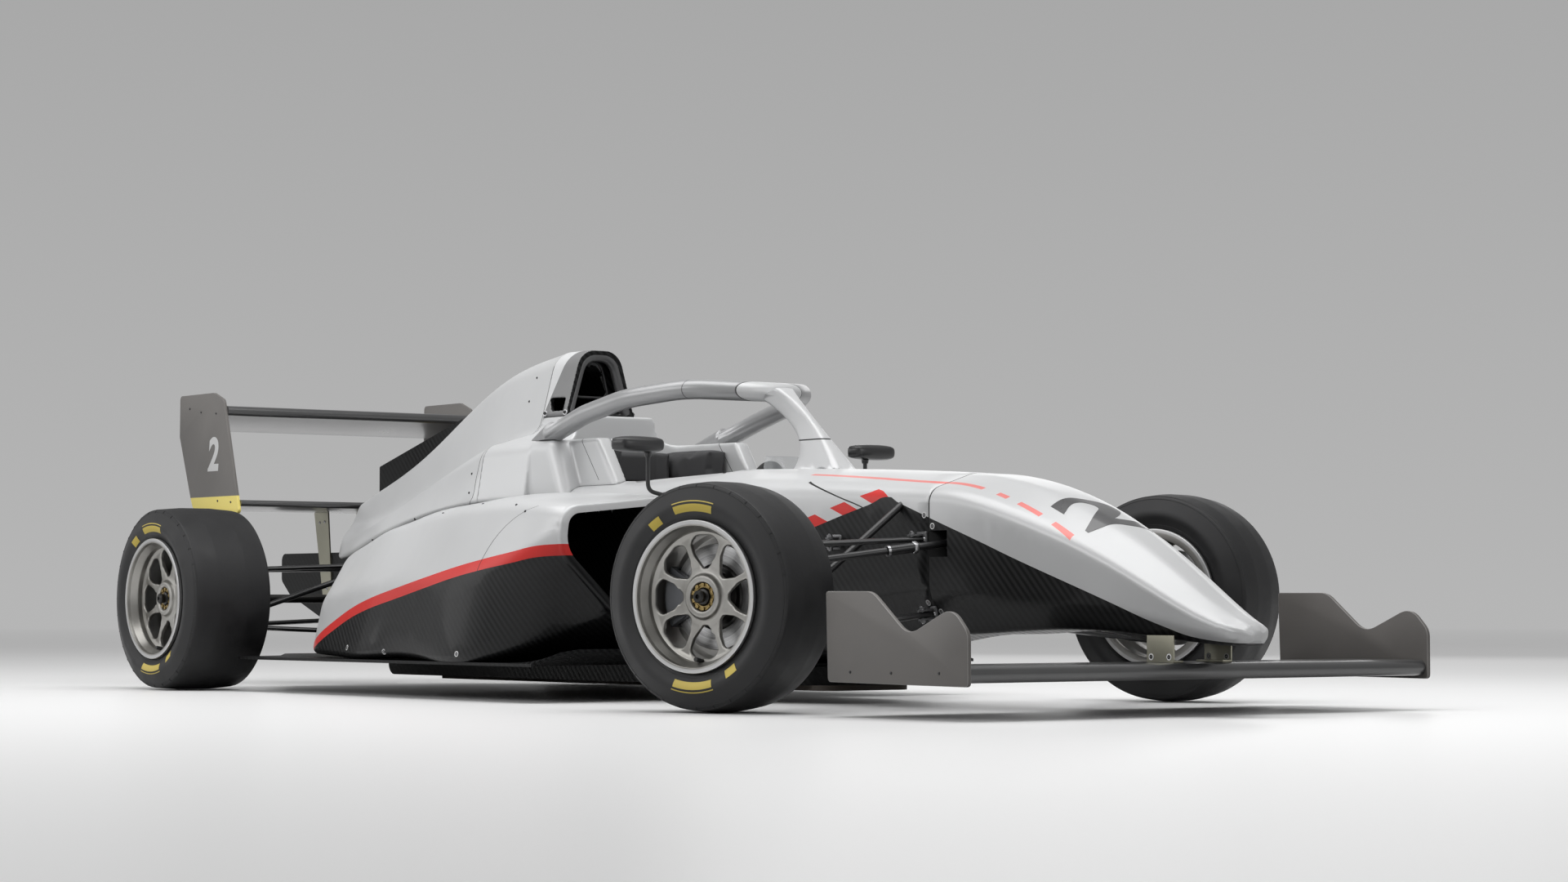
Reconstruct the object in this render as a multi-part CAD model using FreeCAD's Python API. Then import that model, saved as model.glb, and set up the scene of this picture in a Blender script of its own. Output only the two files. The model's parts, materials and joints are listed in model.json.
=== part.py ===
"""Single-seat open wheel racing car: every rigid piece, in millimetres.

Frame: +X to the nose, +Y to the car's left, +Z up. The origin is on the ground, midway along the car's
length and on its centre plane. The front wheels rest steered to the left.
"""
import FreeCAD, Part
import math
import os

V = FreeCAD.Vector
X, Y, Z = V(1, 0, 0), V(0, 1, 0), V(0, 0, 1)
os.makedirs("parts", exist_ok=True)

# ------------------------------------------------------------------ driving dimensions
WHEELBASE = 2750.0
TRACK = 1515.0              # between the wheels' centre planes, front and rear
NOSE_OVERHANG = 1065.0      # front axle to nose tip
TAIL_OVERHANG = 725.0       # rear axle to the tail light

TYRE_RADIUS = 276.0
TYRE_WALL = 11.0
BEAD_RADIUS = 165.0         # 13 inch bead seat
FLANGE_RADIUS = 182.5
RIM_WALL = 6.0
SPOKES = 8
DISC_RADIUS = 127.0
DISC_THICKNESS = 18.0
KINGPIN_INSET = 50.0        # wheel centre plane to the steering axis

STEER_REST = 16.5           # degrees to the left, as parked
STEER_ARM = 70.0            # kingpin to the track rod's eye, forward
STEER_RATIO = 7.5           # steering wheel turns per turn of the front wheels

TUB_WALL = 22.0             # sandwich panel of the monocoque
SKIN = 6.0                  # moulded bodywork panels
NOSE_WALL = 14.0            # crash structure of the nose
GAP = 0.3                   # between neighbouring fixed pieces

FLOOR_HALF = 750.0
FLOOR_Z = 95.0              # underside of the floor plate
FLOOR_PLATE = 8.0
FLOOR_TOP = FLOOR_Z + FLOOR_PLATE + GAP
STEP_DEPTH = 48.0           # keel below the floor plate
PLANK_THICKNESS = 14.0

FRONT_WING_HALF = 737.0     # outer faces of the front endplates
REAR_WING_HALF = 467.0      # outer faces of the rear endplates
ENDPLATE = 10.0

HALO_TUBE = 27.0            # radius
ARM_CHORD, ARM_THICKNESS = 30.0, 15.0   # suspension legs

# ------------------------------------------------------------------ places worked out from them
LENGTH = WHEELBASE + NOSE_OVERHANG + TAIL_OVERHANG
FRONT_AXLE_X = LENGTH / 2 - NOSE_OVERHANG
REAR_AXLE_X = FRONT_AXLE_X - WHEELBASE
WHEEL_Y = TRACK / 2
AXLE_Z = TYRE_RADIUS
KINGPIN_Y = WHEEL_Y - KINGPIN_INSET
SIDES = (("left", 1), ("right", -1))


def front(distance):
    """x at a distance ahead of the front axle."""
    return FRONT_AXLE_X + distance


def rear(distance):
    """x at a distance ahead of the rear axle."""
    return REAR_AXLE_X + distance


TUB_FRONT = front(130)      # nose joint
TUB_REAR = rear(1000)       # engine joint


# ------------------------------------------------------------------ helpers
def unit(vector):
    return vector * (1.0 / vector.Length)


def rounded(points, closed=True):
    """Wire of straight runs and tangent arcs. points: (Vector, corner radius)."""
    count = len(points)
    corners = []
    for i, (point, radius) in enumerate(points):
        if radius == 0 or not closed and i in (0, count - 1):
            corners.append((point, point, point))
            continue
        before, after = points[i - 1][0], points[(i + 1) % count][0]
        a, b = unit(before - point), unit(after - point)
        half = a.getAngle(b) / 2
        reach = min(radius / math.tan(half), 0.48 * (before - point).Length, 0.48 * (after - point).Length)
        radius = reach * math.tan(half)
        middle = point + unit(a + b) * (radius / math.sin(half) - radius)
        corners.append((point + a * reach, middle, point + b * reach))
    edges = []
    for i in range(count if closed else count - 1):
        start, end = corners[i], corners[(i + 1) % count]
        if start[0] != start[2]:
            edges.append(Part.Arc(*start).toShape())
        edges.append(Part.LineSegment(start[2], end[0]).toShape())
    return Part.Wire(edges)


def section(x, half):
    """Closed wire across the car from half a section, (y, z, radius) from the bottom up."""
    left = [(V(x, y, z), r) for y, z, r in half]
    right = [(V(x, -y, z), r) for y, z, r in reversed(half)]
    return rounded(left + right)


def inset(loop, wall):
    """The same closed loop of (y, z, radius), a wall further in."""
    moved = []
    for i, (y1, z1, radius) in enumerate(loop):
        y0, z0, _ = loop[i - 1]
        y2, z2, _ = loop[(i + 1) % len(loop)]
        d1, d2 = unit(V(y1 - y0, z1 - z0, 0)), unit(V(y2 - y1, z2 - z1, 0))
        n1, n2 = V(-d1.y, d1.x, 0), V(-d2.y, d2.x, 0)
        bisector = unit(n1 + n2)
        step = bisector * (wall / bisector.dot(n1))
        outward = d1.x * d2.y - d1.y * d2.x > 0
        moved.append((y1 + step.x, z1 + step.y, max(radius - wall, 4.0) if outward else radius + wall))
    return moved


def shrink(half, wall, drop=0.0):
    """The same half section, a wall further in. drop lowers its open bottom."""
    loop = half + [(-y, z, r) for y, z, r in reversed(half)]
    moved = inset(loop, wall)[:len(half)]
    if drop:
        y, z, r = moved[0]
        moved[0] = (y, half[0][1] - drop, r)
    return moved


def loft(wires, ruled=False):
    return Part.makeLoft(wires, True, ruled)


def plate(points, thickness, direction):
    """Flat plate from a rounded outline."""
    return Part.Face(rounded(points)).extrude(unit(direction) * thickness)


def rod(start, end, radius):
    return Part.makeCylinder(radius, (end - start).Length, start, end - start)


def leg(start, end, chord=ARM_CHORD, thickness=ARM_THICKNESS):
    """Oval suspension leg, its long axis fore and aft."""
    along = unit(end - start)
    wide = unit(X - along * X.dot(along))
    ellipse = Part.Ellipse(start + wide * (chord / 2), start + along.cross(wide) * (thickness / 2), start)
    return Part.Face(Part.Wire(ellipse.toShape())).extrude(end - start)


def tube(points, radius, hole=0.0):
    """Round tube along straight runs joined by tangent arcs. points: (Vector, bend radius)."""
    path = rounded(points, closed=False)
    start, after = points[0][0], points[1][0]
    ring = Part.Wire(Part.Circle(start, after - start, radius).toShape())
    solid = path.makePipeShell([ring], True, True)
    if hole:
        ring = Part.Wire(Part.Circle(start, after - start, hole).toShape())
        solid = solid.cut(path.makePipeShell([ring], True, True))
    return solid


def box(low, high):
    return Part.makeBox(high[0] - low[0], high[1] - low[1], high[2] - low[2], V(*low))


def join(*shapes):
    solid = shapes[0]
    for shape in shapes[1:]:
        solid = solid.fuse(shape)
    return solid.removeSplitter()


def mirrored(shape):
    return shape.mirror(V(0, 0, 0), Y)


def both(shape):
    """A piece and its twin on the other side of the car."""
    return [shape, mirrored(shape)]


def steered(shape, side):
    """A piece of a front wheel, turned about its kingpin to the parked steering angle."""
    turned = shape.copy()
    turned.rotate(V(FRONT_AXLE_X, side * KINGPIN_Y, 0), Z, STEER_REST)
    return turned


def save(name, *shapes):
    solids = [solid for shape in shapes for solid in shape.Solids]
    for solid in solids:
        if not solid.isValid() or solid.Volume <= 0:
            print("check", name, solid.isValid(), solid.Volume)
    shape = solids[0] if len(solids) == 1 else Part.makeCompound(solids)
    shape.exportStep("parts/%s.step" % name)
    print("%-24s %d solid(s) %9.1f cm3" % (name, len(solids), sum(s.Volume for s in solids) / 1000))


# ------------------------------------------------------------------ monocoque and nose
# x, then half-widths and heights: base, side, shoulder vertex and crown vertex
TUB_SECTIONS = (
    # x                 base_y base_z side_y side_z shoulder_y shoulder_z crown_z
    (TUB_FRONT,         150, 183, 205, 290, 205, 540, 586),
    (front(-150),       165, 158, 222, 270, 222, 556, 603),
    (front(-500),       190, 115, 262, 230, 262, 572, 617),
    (front(-900),       210, 104, 305, 220, 298, 578, 627),
    (rear(1500),        220, 104, 330, 215, 322, 575, 632),
    (TUB_REAR,          220, 104, 340, 215, 345, 560, 632),
)
NOSE_SECTIONS = (
    (TUB_FRONT + GAP,   150, 183, 205, 290, 205, 540, 586),
    (front(330),        135, 190, 190, 270, 196, 507, 556),
    (front(550),        108, 197, 158, 250, 165, 430, 486),
    (front(780),         80, 184, 114, 232, 122, 322, 366),
    (front(950),         56, 167,  84, 198,  86, 236, 261),
    (front(1020),        44, 163,  64, 184,  66, 209, 227),
)
# the rounded tip, each ring a little further in than the one behind
NOSE_TIP = (
    NOSE_SECTIONS[-1],
    (front(1040),        38, 163,  56, 182,  58, 202, 217),
    (front(1055),        27, 167,  40, 182,  41, 196, 207),
    (front(NOSE_OVERHANG), 12, 175, 20, 183, 20, 190, 196),
)


def hull(row):
    x, base_y, base_z, side_y, side_z, shoulder_y, shoulder_z, crown_z = row
    soft = 0.22 * side_y
    return x, [(base_y, base_z, soft), (side_y, side_z, soft * 2), (shoulder_y, shoulder_z, soft),
               (shoulder_y * 0.30, crown_z, soft * 3)]


def hull_loft(rows, wall=0.0, ruled=False):
    wires = []
    for row in rows:
        x, half = hull(row)
        wires.append(section(x, shrink(half, wall) if wall else half))
    return loft(wires, ruled)


def nose_body():
    return join(hull_loft(NOSE_SECTIONS), hull_loft(NOSE_TIP, ruled=True))


# ------------------------------------------------------------------ cockpit
COCKPIT_FRONT = front(-790)
COCKPIT_REAR = rear(1190)
COCKPIT_HALF = 225.0
SURROUND_TOP = 725.0
RIM_Z = 585.0


def cockpit_cut(bottom, top, shrink_by=0.0):
    """The hole that the driver climbs through, narrower at its front."""
    half = [(COCKPIT_FRONT, 120, 90), (front(-1100), COCKPIT_HALF, 300), (COCKPIT_REAR, 200, 90)]
    right = [(V(x, -y + shrink_by, bottom), r) for x, y, r in half]
    left = [(V(x, y - shrink_by, bottom), r) for x, y, r in reversed(half)]
    return plate(right + left, top - bottom, Z)


def below_floor():
    return box((-LENGTH, -1000, 0), (LENGTH, 1000, FLOOR_TOP))


def tub_room(clearance=0.0):
    """The space inside the monocoque, between its front and rear bulkheads."""
    inner = hull_loft(TUB_SECTIONS, TUB_WALL + clearance)
    return inner.common(box((TUB_REAR + 60 + clearance, -600, 0), (TUB_FRONT - 30 - clearance, 600, 900)))


def make_monocoque():
    tub = hull_loft(TUB_SECTIONS).cut(tub_room())
    save("monocoque", tub.cut(cockpit_cut(RIM_Z - 120, 900)).cut(below_floor()))


def make_nose():
    nose = nose_body().cut(hull_loft(NOSE_SECTIONS[:4], NOSE_WALL))
    for side in (1, -1):
        slot = box((TUB_FRONT - 10, side * 200 - 60, 375), (front(195), side * 200 + 60, 440))
        nose = nose.cut(slot)
    save("nose_cone", nose)


SURROUND_HALF = 265.0
SHOULDER_HALF = 330.0
HEAD_FAIRING_TOP = 806.0


def make_surround():
    """Raised collar beside the driver's head, the shoulders under the halo's feet and the fairing behind."""
    def slab(half, low_x, high_x, top, soft):
        outline = [(V(low_x, -half, 560), 0), (V(high_x, -half, top), soft), (V(TUB_REAR + GAP, -half, top), 0),
                   (V(TUB_REAR + GAP, -half, 560), 0)]
        block = plate(outline, 2 * half, Y)
        edges = [e for e in block.Edges if abs(e.BoundBox.YLength) < 0.01 and e.BoundBox.ZMin > top - 40]
        return block.makeFillet(soft, edges)
    collar = slab(SURROUND_HALF, rear(1600), rear(1482), SURROUND_TOP, 12)
    shoulders = slab(SHOULDER_HALF, rear(1420), rear(1345), SURROUND_TOP - 1, 30)
    # behind the driver the section runs into the engine cover's
    x, cover = cover_half(COVER_SECTIONS[0])
    ahead = [(352, 548, 12), (SHOULDER_HALF - 1, SURROUND_TOP - 8, 40), (150, SURROUND_TOP - 2, 50), cover[3]]
    run = loft([section(TUB_REAR + GAP, cover), section(rear(1240), ahead)], ruled=True)
    run = run.common(box((TUB_REAR, -500, 500), (rear(1240), 500, HEAD_FAIRING_TOP)))
    fairing = slab(138, rear(1330), rear(1290), HEAD_FAIRING_TOP, 22)
    shoulders = shoulders.common(box((rear(1240) - 1, -500, 500), (rear(1500), 500, 900)))
    whole = join(collar, shoulders, fairing, run)
    save("headrest_surround", whole.cut(hull_loft(TUB_SECTIONS)).cut(cockpit_cut(500, 900)))


# ------------------------------------------------------------------ engine cover, fin and roll hoop
HOOP_FRONT, HOOP_REAR = rear(1105), TUB_REAR
HOOP_TOP = 1004.0
COVER_SECTIONS = (
    # x        bottom y,z   shoulder y,z  valley y,z  crest half, z
    (TUB_REAR - GAP, 360, 548, 332, 712, 140, 765, 84, HOOP_TOP),
    (rear(810),      356, 532, 305, 668, 128, 730, 70, 978),
    (rear(560),      345, 498, 262, 610, 108, 672, 50, 910),
    (rear(290),      310, 452, 215, 548,  86, 610, 38, 788),
    (rear(30),       225, 420, 160, 500,  74, 552, 36, 678),
    (rear(-230),     125, 405, 110, 470,  70, 520, 40, 590),
)


def cover_half(row):
    x, bottom_y, bottom_z, shoulder_y, shoulder_z, valley_y, valley_z, crest, top = row
    return x, [(bottom_y, bottom_z, 12), (shoulder_y, shoulder_z, 60), (valley_y, valley_z, 60),
               (crest, top, crest * 0.95)]


def make_cover():
    outer, inner = [], []
    for row in COVER_SECTIONS:
        x, half = cover_half(row)
        outer.append(section(x, half))
        inner.append(section(x, shrink(half, SKIN, drop=40)))
    save("engine_cover", loft(outer).cut(loft(inner)))


def make_fin():
    profile = [(V(rear(385), -4, 848), 10), (V(rear(-176), -4, 703), 6), (V(rear(-176), -4, 605), 6),
               (V(rear(120), -4, 660), 6)]
    fin = plate(profile, 8, Y)
    solid_cover = loft([section(*cover_half(row)) for row in COVER_SECTIONS])
    save("shark_fin", fin.cut(solid_cover))


def hoop_half(foot, crest, top, low):
    return [(foot, low, 10), (crest, top, crest * 0.95)]


def make_roll_hoop():
    """Arched fairing with the engine's air intake behind its open mouth."""
    low = HEAD_FAIRING_TOP + GAP
    outer = loft([section(HOOP_FRONT, hoop_half(122, 66, HOOP_TOP, low)),
                  section(HOOP_REAR, hoop_half(134, 84, HOOP_TOP, low))], ruled=True)
    inner = loft([section(HOOP_FRONT + 1, hoop_half(106, 52, HOOP_TOP - 16, low + 10)),
                  section(HOOP_REAR - 1, hoop_half(118, 68, HOOP_TOP - 16, low + 10))], ruled=True)
    shell = outer.cut(inner)
    wall = outer.common(box((HOOP_FRONT - 62, -200, 700), (HOOP_FRONT - 52, 200, 1100)))
    duct = [(62, 868, 22), (34, 972, 32)]
    bore = loft([section(HOOP_FRONT, duct), section(HOOP_REAR - 5, duct)])
    shell = join(shell, wall.cut(bore))
    window = box((HOOP_FRONT - 50, -200, 826), (HOOP_FRONT - 20, 200, 862))
    save("roll_hoop", shell.cut(window))


# ------------------------------------------------------------------ sidepods, radiators, floor and plank
POD_SECTIONS = (
    # x          inner_y base_z outer_y outer_z wide_y wide_z top_y top_z seam_y seam_z
    (rear(1900), 338, 232, 500, 240, 668, 396, 652, 518, 345, 548),
    (rear(1790), 342, 150, 640, 160, 716, 380, 664, 532, 351, 558),
    (rear(1640), 352, 108, 744, 108, 734, 350, 664, 534, 360, 565),
    (rear(1350), 360, 106, 748, 106, 730, 330, 640, 520, 366, 570),
    (rear(1000), 364, 106, 740, 106, 702, 310, 592, 482, 366, 550),
    (rear(680),  362, 110, 682, 110, 640, 285, 536, 436, 360, 512),
    (rear(560),  356, 112, 650, 112, 612, 270, 514, 412, 352, 488),
    (rear(470),  346, 114, 590, 116, 562, 255, 488, 392, 340, 466),
    (rear(425),  338, 120, 520, 124, 500, 246, 452, 372, 330, 448),
)
INLET_LIP = 24.0            # wall at the inlet's mouth
INLET_ROLL = 10.0           # radius of its front edge


def pod_half(row):
    x, inner_y, base_z, outer_y, outer_z, wide_y, wide_z, top_y, top_z, seam_y, seam_z = row
    return x, [(inner_y, base_z, 12), (outer_y, outer_z, 20), (wide_y, wide_z, 120), (top_y, top_z, 62),
               (seam_y, seam_z, 10)]


def ring_at(x, loop):
    return rounded([(V(x, y, z), r) for y, z, r in loop])


def pod_shell(wall=0.0, lip=0.0):
    """The sidepod's outside, or its inside a wall further in. lip is the extra wall at the inlet's mouth."""
    wires = []
    for place, row in enumerate(POD_SECTIONS):
        x, loop = pod_half(row)
        wires.append(ring_at(x, inset(loop, wall + (lip if place == 0 else 0.0))))
    return loft(wires)


def inlet_roll():
    """The rounded front edge of the inlet's lip."""
    x, loop = pod_half(POD_SECTIONS[0])
    rings = []
    for angle in (0, math.pi / 4, math.pi / 2.2):
        rings.append(ring_at(x + INLET_ROLL * math.sin(angle), inset(loop, INLET_ROLL * (1 - math.cos(angle)))))
    return loft(rings)


def make_sidepods():
    pod = join(pod_shell(), inlet_roll())
    mouth = ring_at(POD_SECTIONS[0][0] - 1, inset(pod_half(POD_SECTIONS[0])[1], INLET_LIP))
    pod = pod.cut(pod_shell(SKIN, INLET_LIP - SKIN)).cut(Part.Face(mouth).extrude(X * (INLET_ROLL + 2)))
    save("sidepods", *both(pod.cut(below_floor())))


RADIATOR_X = rear(1480)


def make_radiators():
    core = box((RADIATOR_X, 380, 130), (RADIATOR_X + 48, 660, 500))
    core.rotate(V(RADIATOR_X, 0, 130), Y, -14)
    room = pod_shell(SKIN + GAP, INLET_LIP - SKIN)
    save("radiators", *both(core.common(room).cut(below_floor())))


FLOOR_FRONT = rear(1910)
RAMP_REAR = rear(1760)
KEEL_HALF = 300.0
KEEL_REAR = rear(400)
KEEL_ROUND = 34.0


def floor_ramp():
    """The floor's front corner, its leading edge curled up ahead of the sidepod."""
    lead = [(330, 132), (600, 132), (660, 124), (705, 108), (FLOOR_HALF, FLOOR_Z)]
    wires = []
    for x, rise in ((RAMP_REAR, 0.0), ((RAMP_REAR + FLOOR_FRONT) / 2, 0.35), (FLOOR_FRONT, 1.0)):
        low = [V(x, y, FLOOR_Z + rise * (z - FLOOR_Z)) for y, z in lead]
        high = [point + Z * FLOOR_PLATE for point in reversed(low)]
        wires.append(Part.makePolygon(low + high + [low[0]]))
    return loft(wires, ruled=True)


def make_floor():
    tip_x, tail_x = rear(282), rear(-200)
    outline = [(V(RAMP_REAR, FLOOR_HALF, FLOOR_Z), 0), (V(RAMP_REAR, 330, FLOOR_Z), 0),
               (V(front(-480), 270, FLOOR_Z), 120), (V(front(-480), -270, FLOOR_Z), 120),
               (V(RAMP_REAR, -330, FLOOR_Z), 0), (V(RAMP_REAR, -FLOOR_HALF, FLOOR_Z), 0),
               (V(tip_x, -FLOOR_HALF, FLOOR_Z), 12), (V(rear(176), -548, FLOOR_Z), 60),
               (V(tail_x, -330, FLOOR_Z), 60), (V(tail_x, 330, FLOOR_Z), 60), (V(rear(176), 548, FLOOR_Z), 60),
               (V(tip_x, FLOOR_HALF, FLOOR_Z), 12)]
    floor = plate(outline, FLOOR_PLATE, Z)
    keel_outline = [(V(front(-420), KEEL_HALF * 0.6, 0), 60), (V(front(-420), -KEEL_HALF * 0.6, 0), 60),
                    (V(front(-900), -KEEL_HALF, 0), 200), (V(KEEL_REAR, -KEEL_HALF, 0), 0),
                    (V(KEEL_REAR, KEEL_HALF, 0), 0), (V(front(-900), KEEL_HALF, 0), 200)]
    keel = plate([(p + Z * (FLOOR_Z - STEP_DEPTH), r) for p, r in keel_outline], STEP_DEPTH, Z)
    bottom_edges = [e for e in keel.Edges if e.BoundBox.ZMax < FLOOR_Z - STEP_DEPTH + 1]
    end = [e for e in bottom_edges if e.BoundBox.XMax < KEEL_REAR + 1]
    save("floor", join(floor, keel.makeFillet(KEEL_ROUND, end), *both(floor_ramp())))


PLANK_HALF = 150.0
PLANK_Z = FLOOR_Z - STEP_DEPTH - PLANK_THICKNESS


def make_plank():
    outline = [(V(front(-360), PLANK_HALF, PLANK_Z), 60), (V(front(-360), -PLANK_HALF, PLANK_Z), 60),
               (V(KEEL_REAR + 50, -PLANK_HALF, PLANK_Z), 20), (V(KEEL_REAR + 50, PLANK_HALF, PLANK_Z), 20)]
    save("skid_plank", plate(outline, PLANK_THICKNESS, Z))


# ------------------------------------------------------------------ power train and tail
ENGINE_REAR = rear(440)
GEARBOX_REAR = rear(-240)
CRASH_HALF = 76.0
TAIL_LAMP = 26.0


def gearbox_body():
    return loft([section(ENGINE_REAR - GAP, [(150, FLOOR_TOP, 20), (150, 400, 40)]),
                 section(GEARBOX_REAR, [(CRASH_HALF, 150, 20), (CRASH_HALF, 400, 40)])], ruled=True)


def make_powertrain():
    save("engine", box((ENGINE_REAR, -215, FLOOR_TOP), (TUB_REAR - GAP, 215, 520)))
    save("gearbox", gearbox_body())
    end = rear(-TAIL_OVERHANG) + TAIL_LAMP + GAP
    crash = plate([(V(GEARBOX_REAR - GAP, -CRASH_HALF, 427), 10), (V(end, -CRASH_HALF, 427), 24),
                   (V(end, -CRASH_HALF, 338), 20), (V(rear(-640), -CRASH_HALF, 290), 20),
                   (V(rear(-400), -CRASH_HALF, 205), 30), (V(GEARBOX_REAR - GAP, -CRASH_HALF, 200), 10)],
                  2 * CRASH_HALF, Y)
    save("crash_structure", crash)
    save("rain_light", box((rear(-TAIL_OVERHANG), -38, 346), (rear(-TAIL_OVERHANG) + TAIL_LAMP, 38, 408)))


# ------------------------------------------------------------------ halo, windscreen, mirrors
HALO_FOOT = V(rear(1309), 299, 738)


def make_halo():
    half = [V(rear(1985), 0, 822), V(rear(1940), 75, 838), V(rear(1830), 200, 846), V(rear(1660), 285, 824),
            V(rear(1480), 302, 787)]
    points = [HALO_FOOT] + half[:0:-1]
    route = [(p, 260) for p in points] + [(V(p.x, -p.y, p.z), 260) for p in reversed(points)]
    hoop = tube(route, HALO_TUBE)
    pillar = loft([rounded([(V(front(-738), 30, 846), 12), (V(front(-738), -30, 846), 12),
                            (V(front(-820), -34, 822), 12), (V(front(-820), 34, 822), 12)]),
                   rounded([(V(front(-560), 17, 708), 9), (V(front(-560), -17, 708), 9),
                            (V(front(-655), -17, 676), 9), (V(front(-655), 17, 676), 9)]),
                   rounded([(V(front(-452), 44, 604), 20), (V(front(-452), -44, 604), 20),
                            (V(front(-680), -44, 600), 20), (V(front(-680), 44, 600), 20)])])
    feet = []
    for side in (1, -1):
        foot = V(HALO_FOOT.x, side * HALO_FOOT.y, HALO_FOOT.z)
        feet.append(Part.makeCone(HALO_TUBE + 4, 14, 120, foot + V(8, 0, 6), V(-110, side * -14, -22)))
    pad = box((rear(1150), -SHOULDER_HALF, 600), (rear(1345), SHOULDER_HALF, SURROUND_TOP - 1 + GAP))
    save("halo", join(hoop, pillar, *feet).cut(hull_loft(TUB_SECTIONS)).cut(pad))


def make_windscreen():
    outer = Part.makeCone(210, 170, 62, V(front(-905), 0, 600), Z)
    inner = Part.makeCone(206, 166, 62, V(front(-905), 0, 600), Z)
    keep = box((front(-835), -170, 600), (front(-680), 170, 660))
    screen = outer.cut(inner).common(keep).cut(hull_loft(TUB_SECTIONS))
    save("windscreen", screen)


MIRROR_X, MIRROR_Y, MIRROR_Z = front(-858), 400.0, 686.0


def make_mirrors():
    wide, high, deep = 172.0, 50.0, 58.0
    base = MIRROR_Z - high / 2
    rear_x, front_x = MIRROR_X - deep / 2, MIRROR_X + deep / 2
    outline = [(V(rear_x, MIRROR_Y - wide / 2, base), 12), (V(rear_x, MIRROR_Y + wide / 2, base), 12),
               (V(front_x, MIRROR_Y + wide / 2 - 22, base), 24), (V(front_x, MIRROR_Y - wide / 2 + 12, base), 24)]
    shell = plate(outline, high, Z)
    shell = shell.makeFillet(14, [e for e in shell.Edges if abs(e.BoundBox.ZLength) < 0.01])
    stalk_y = MIRROR_Y - 30
    stalk = tube([(V(MIRROR_X, stalk_y, base + 4), 0), (V(MIRROR_X, stalk_y, 562), 22), (V(MIRROR_X, 275, 541), 0)], 7)
    save("mirrors", *both(join(shell, stalk).cut(hull_loft(TUB_SECTIONS))))


# ------------------------------------------------------------------ seat and headrest
def make_seat():
    def side_view(half, outline):
        return plate([(V(rear(d), -half, z), r) for d, z, r in outline], 2 * half, Y)
    outer = side_view(185, [(1780, 100, 8), (1090, 100, 8), (1062, 545, 20), (1180, 545, 40), (1300, 330, 120),
                            (1420, 180, 120), (1780, 215, 40)])
    room = side_view(150, [(1800, 165, 20), (1400, 160, 120), (1255, 300, 120), (1120, 600, 20), (1800, 600, 20)])
    save("seat", outer.cut(room).common(tub_room(GAP)))


def make_headrest():
    """Padded U round the helmet."""
    fill = cockpit_cut(600, 704, GAP)
    inner = plate([(V(rear(1700), 168, 590), 10), (V(rear(1262), 132, 590), 90), (V(rear(1262), -132, 590), 90),
                   (V(rear(1700), -168, 590), 10)], 140, Z)
    ahead = box((rear(1450), -300, 500), (front(-500), 300, 900))
    save("headrest", fill.cut(inner).cut(ahead))


def make_dash():
    """Bulkhead under the scuttle that carries the steering column."""
    panel = box((DASH_X, -300, 430), (DASH_X + 8, 300, 700)).common(tub_room(GAP))
    centre = V(STEERING_X, 0, STEERING_Z)
    tilt = math.radians(COLUMN_TILT)
    axis = V(math.cos(tilt), 0, -math.sin(tilt))
    save("dash_panel", panel.cut(rod(centre, centre + axis * 500, COLUMN_RADIUS + 0.5)))


# ------------------------------------------------------------------ steering wheel and column
STEERING_X, STEERING_Z = front(-905), 522.0
COLUMN_TILT = 14.0
COLUMN_RADIUS = 14.0
DASH_X = front(-690)


def make_steering_wheel():
    centre = V(STEERING_X, 0, STEERING_Z)
    board = plate([(V(0, 78, -48), 20), (V(0, 78, 52), 24), (V(0, -78, 52), 24), (V(0, -78, -48), 20)], 22, X)
    grips = []
    for side in (1, -1):
        route = [(V(11, side * 62, 46), 0), (V(11, side * 128, 66), 34), (V(11, side * 134, -40), 34),
                 (V(11, side * 66, -52), 0)]
        grips.append(tube(route, 15))
    column = rod(V(20, 0, 0), V(330, 0, 0), COLUMN_RADIUS)
    hub = rod(V(20, 0, 0), V(58, 0, 0), 30)
    wheel = join(board, hub, column, *grips)
    wheel.rotate(V(0, 0, 0), X, -STEER_REST * STEER_RATIO)
    wheel.rotate(V(0, 0, 0), Y, COLUMN_TILT)
    wheel.translate(centre)
    save("steering_wheel", wheel)


# ------------------------------------------------------------------ wings
def wing_section(y, chord, thick, lead, height, camber, angle):
    """Aerofoil of arcs: lead is the leading edge's x, angle lifts the trailing edge."""
    top = V(lead - 0.40 * chord, y, height + camber + thick * 0.5)
    low = V(lead - 0.40 * chord, y, height + camber - thick * 0.5)
    nose = V(lead, y, height)
    high, under = nose + V(-thick / 2, 0, thick * 0.48), nose + V(-thick / 2, 0, -thick * 0.48)
    tail = V(lead - chord, y, height)
    tail_top, tail_low = tail + Z * 2, tail - Z * 2
    edges = [Part.Arc(under, nose, high).toShape(), Part.Arc(high, top, tail_top).toShape(),
             Part.LineSegment(tail_top, tail_low).toShape(), Part.Arc(tail_low, low, under).toShape()]
    wire = Part.Wire(edges)
    wire.rotate(nose, Y, angle)
    return wire


def wing(half, **shape):
    wire = wing_section(-half, **shape)
    return Part.Face(wire).extrude(Y * (2 * half))


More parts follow.
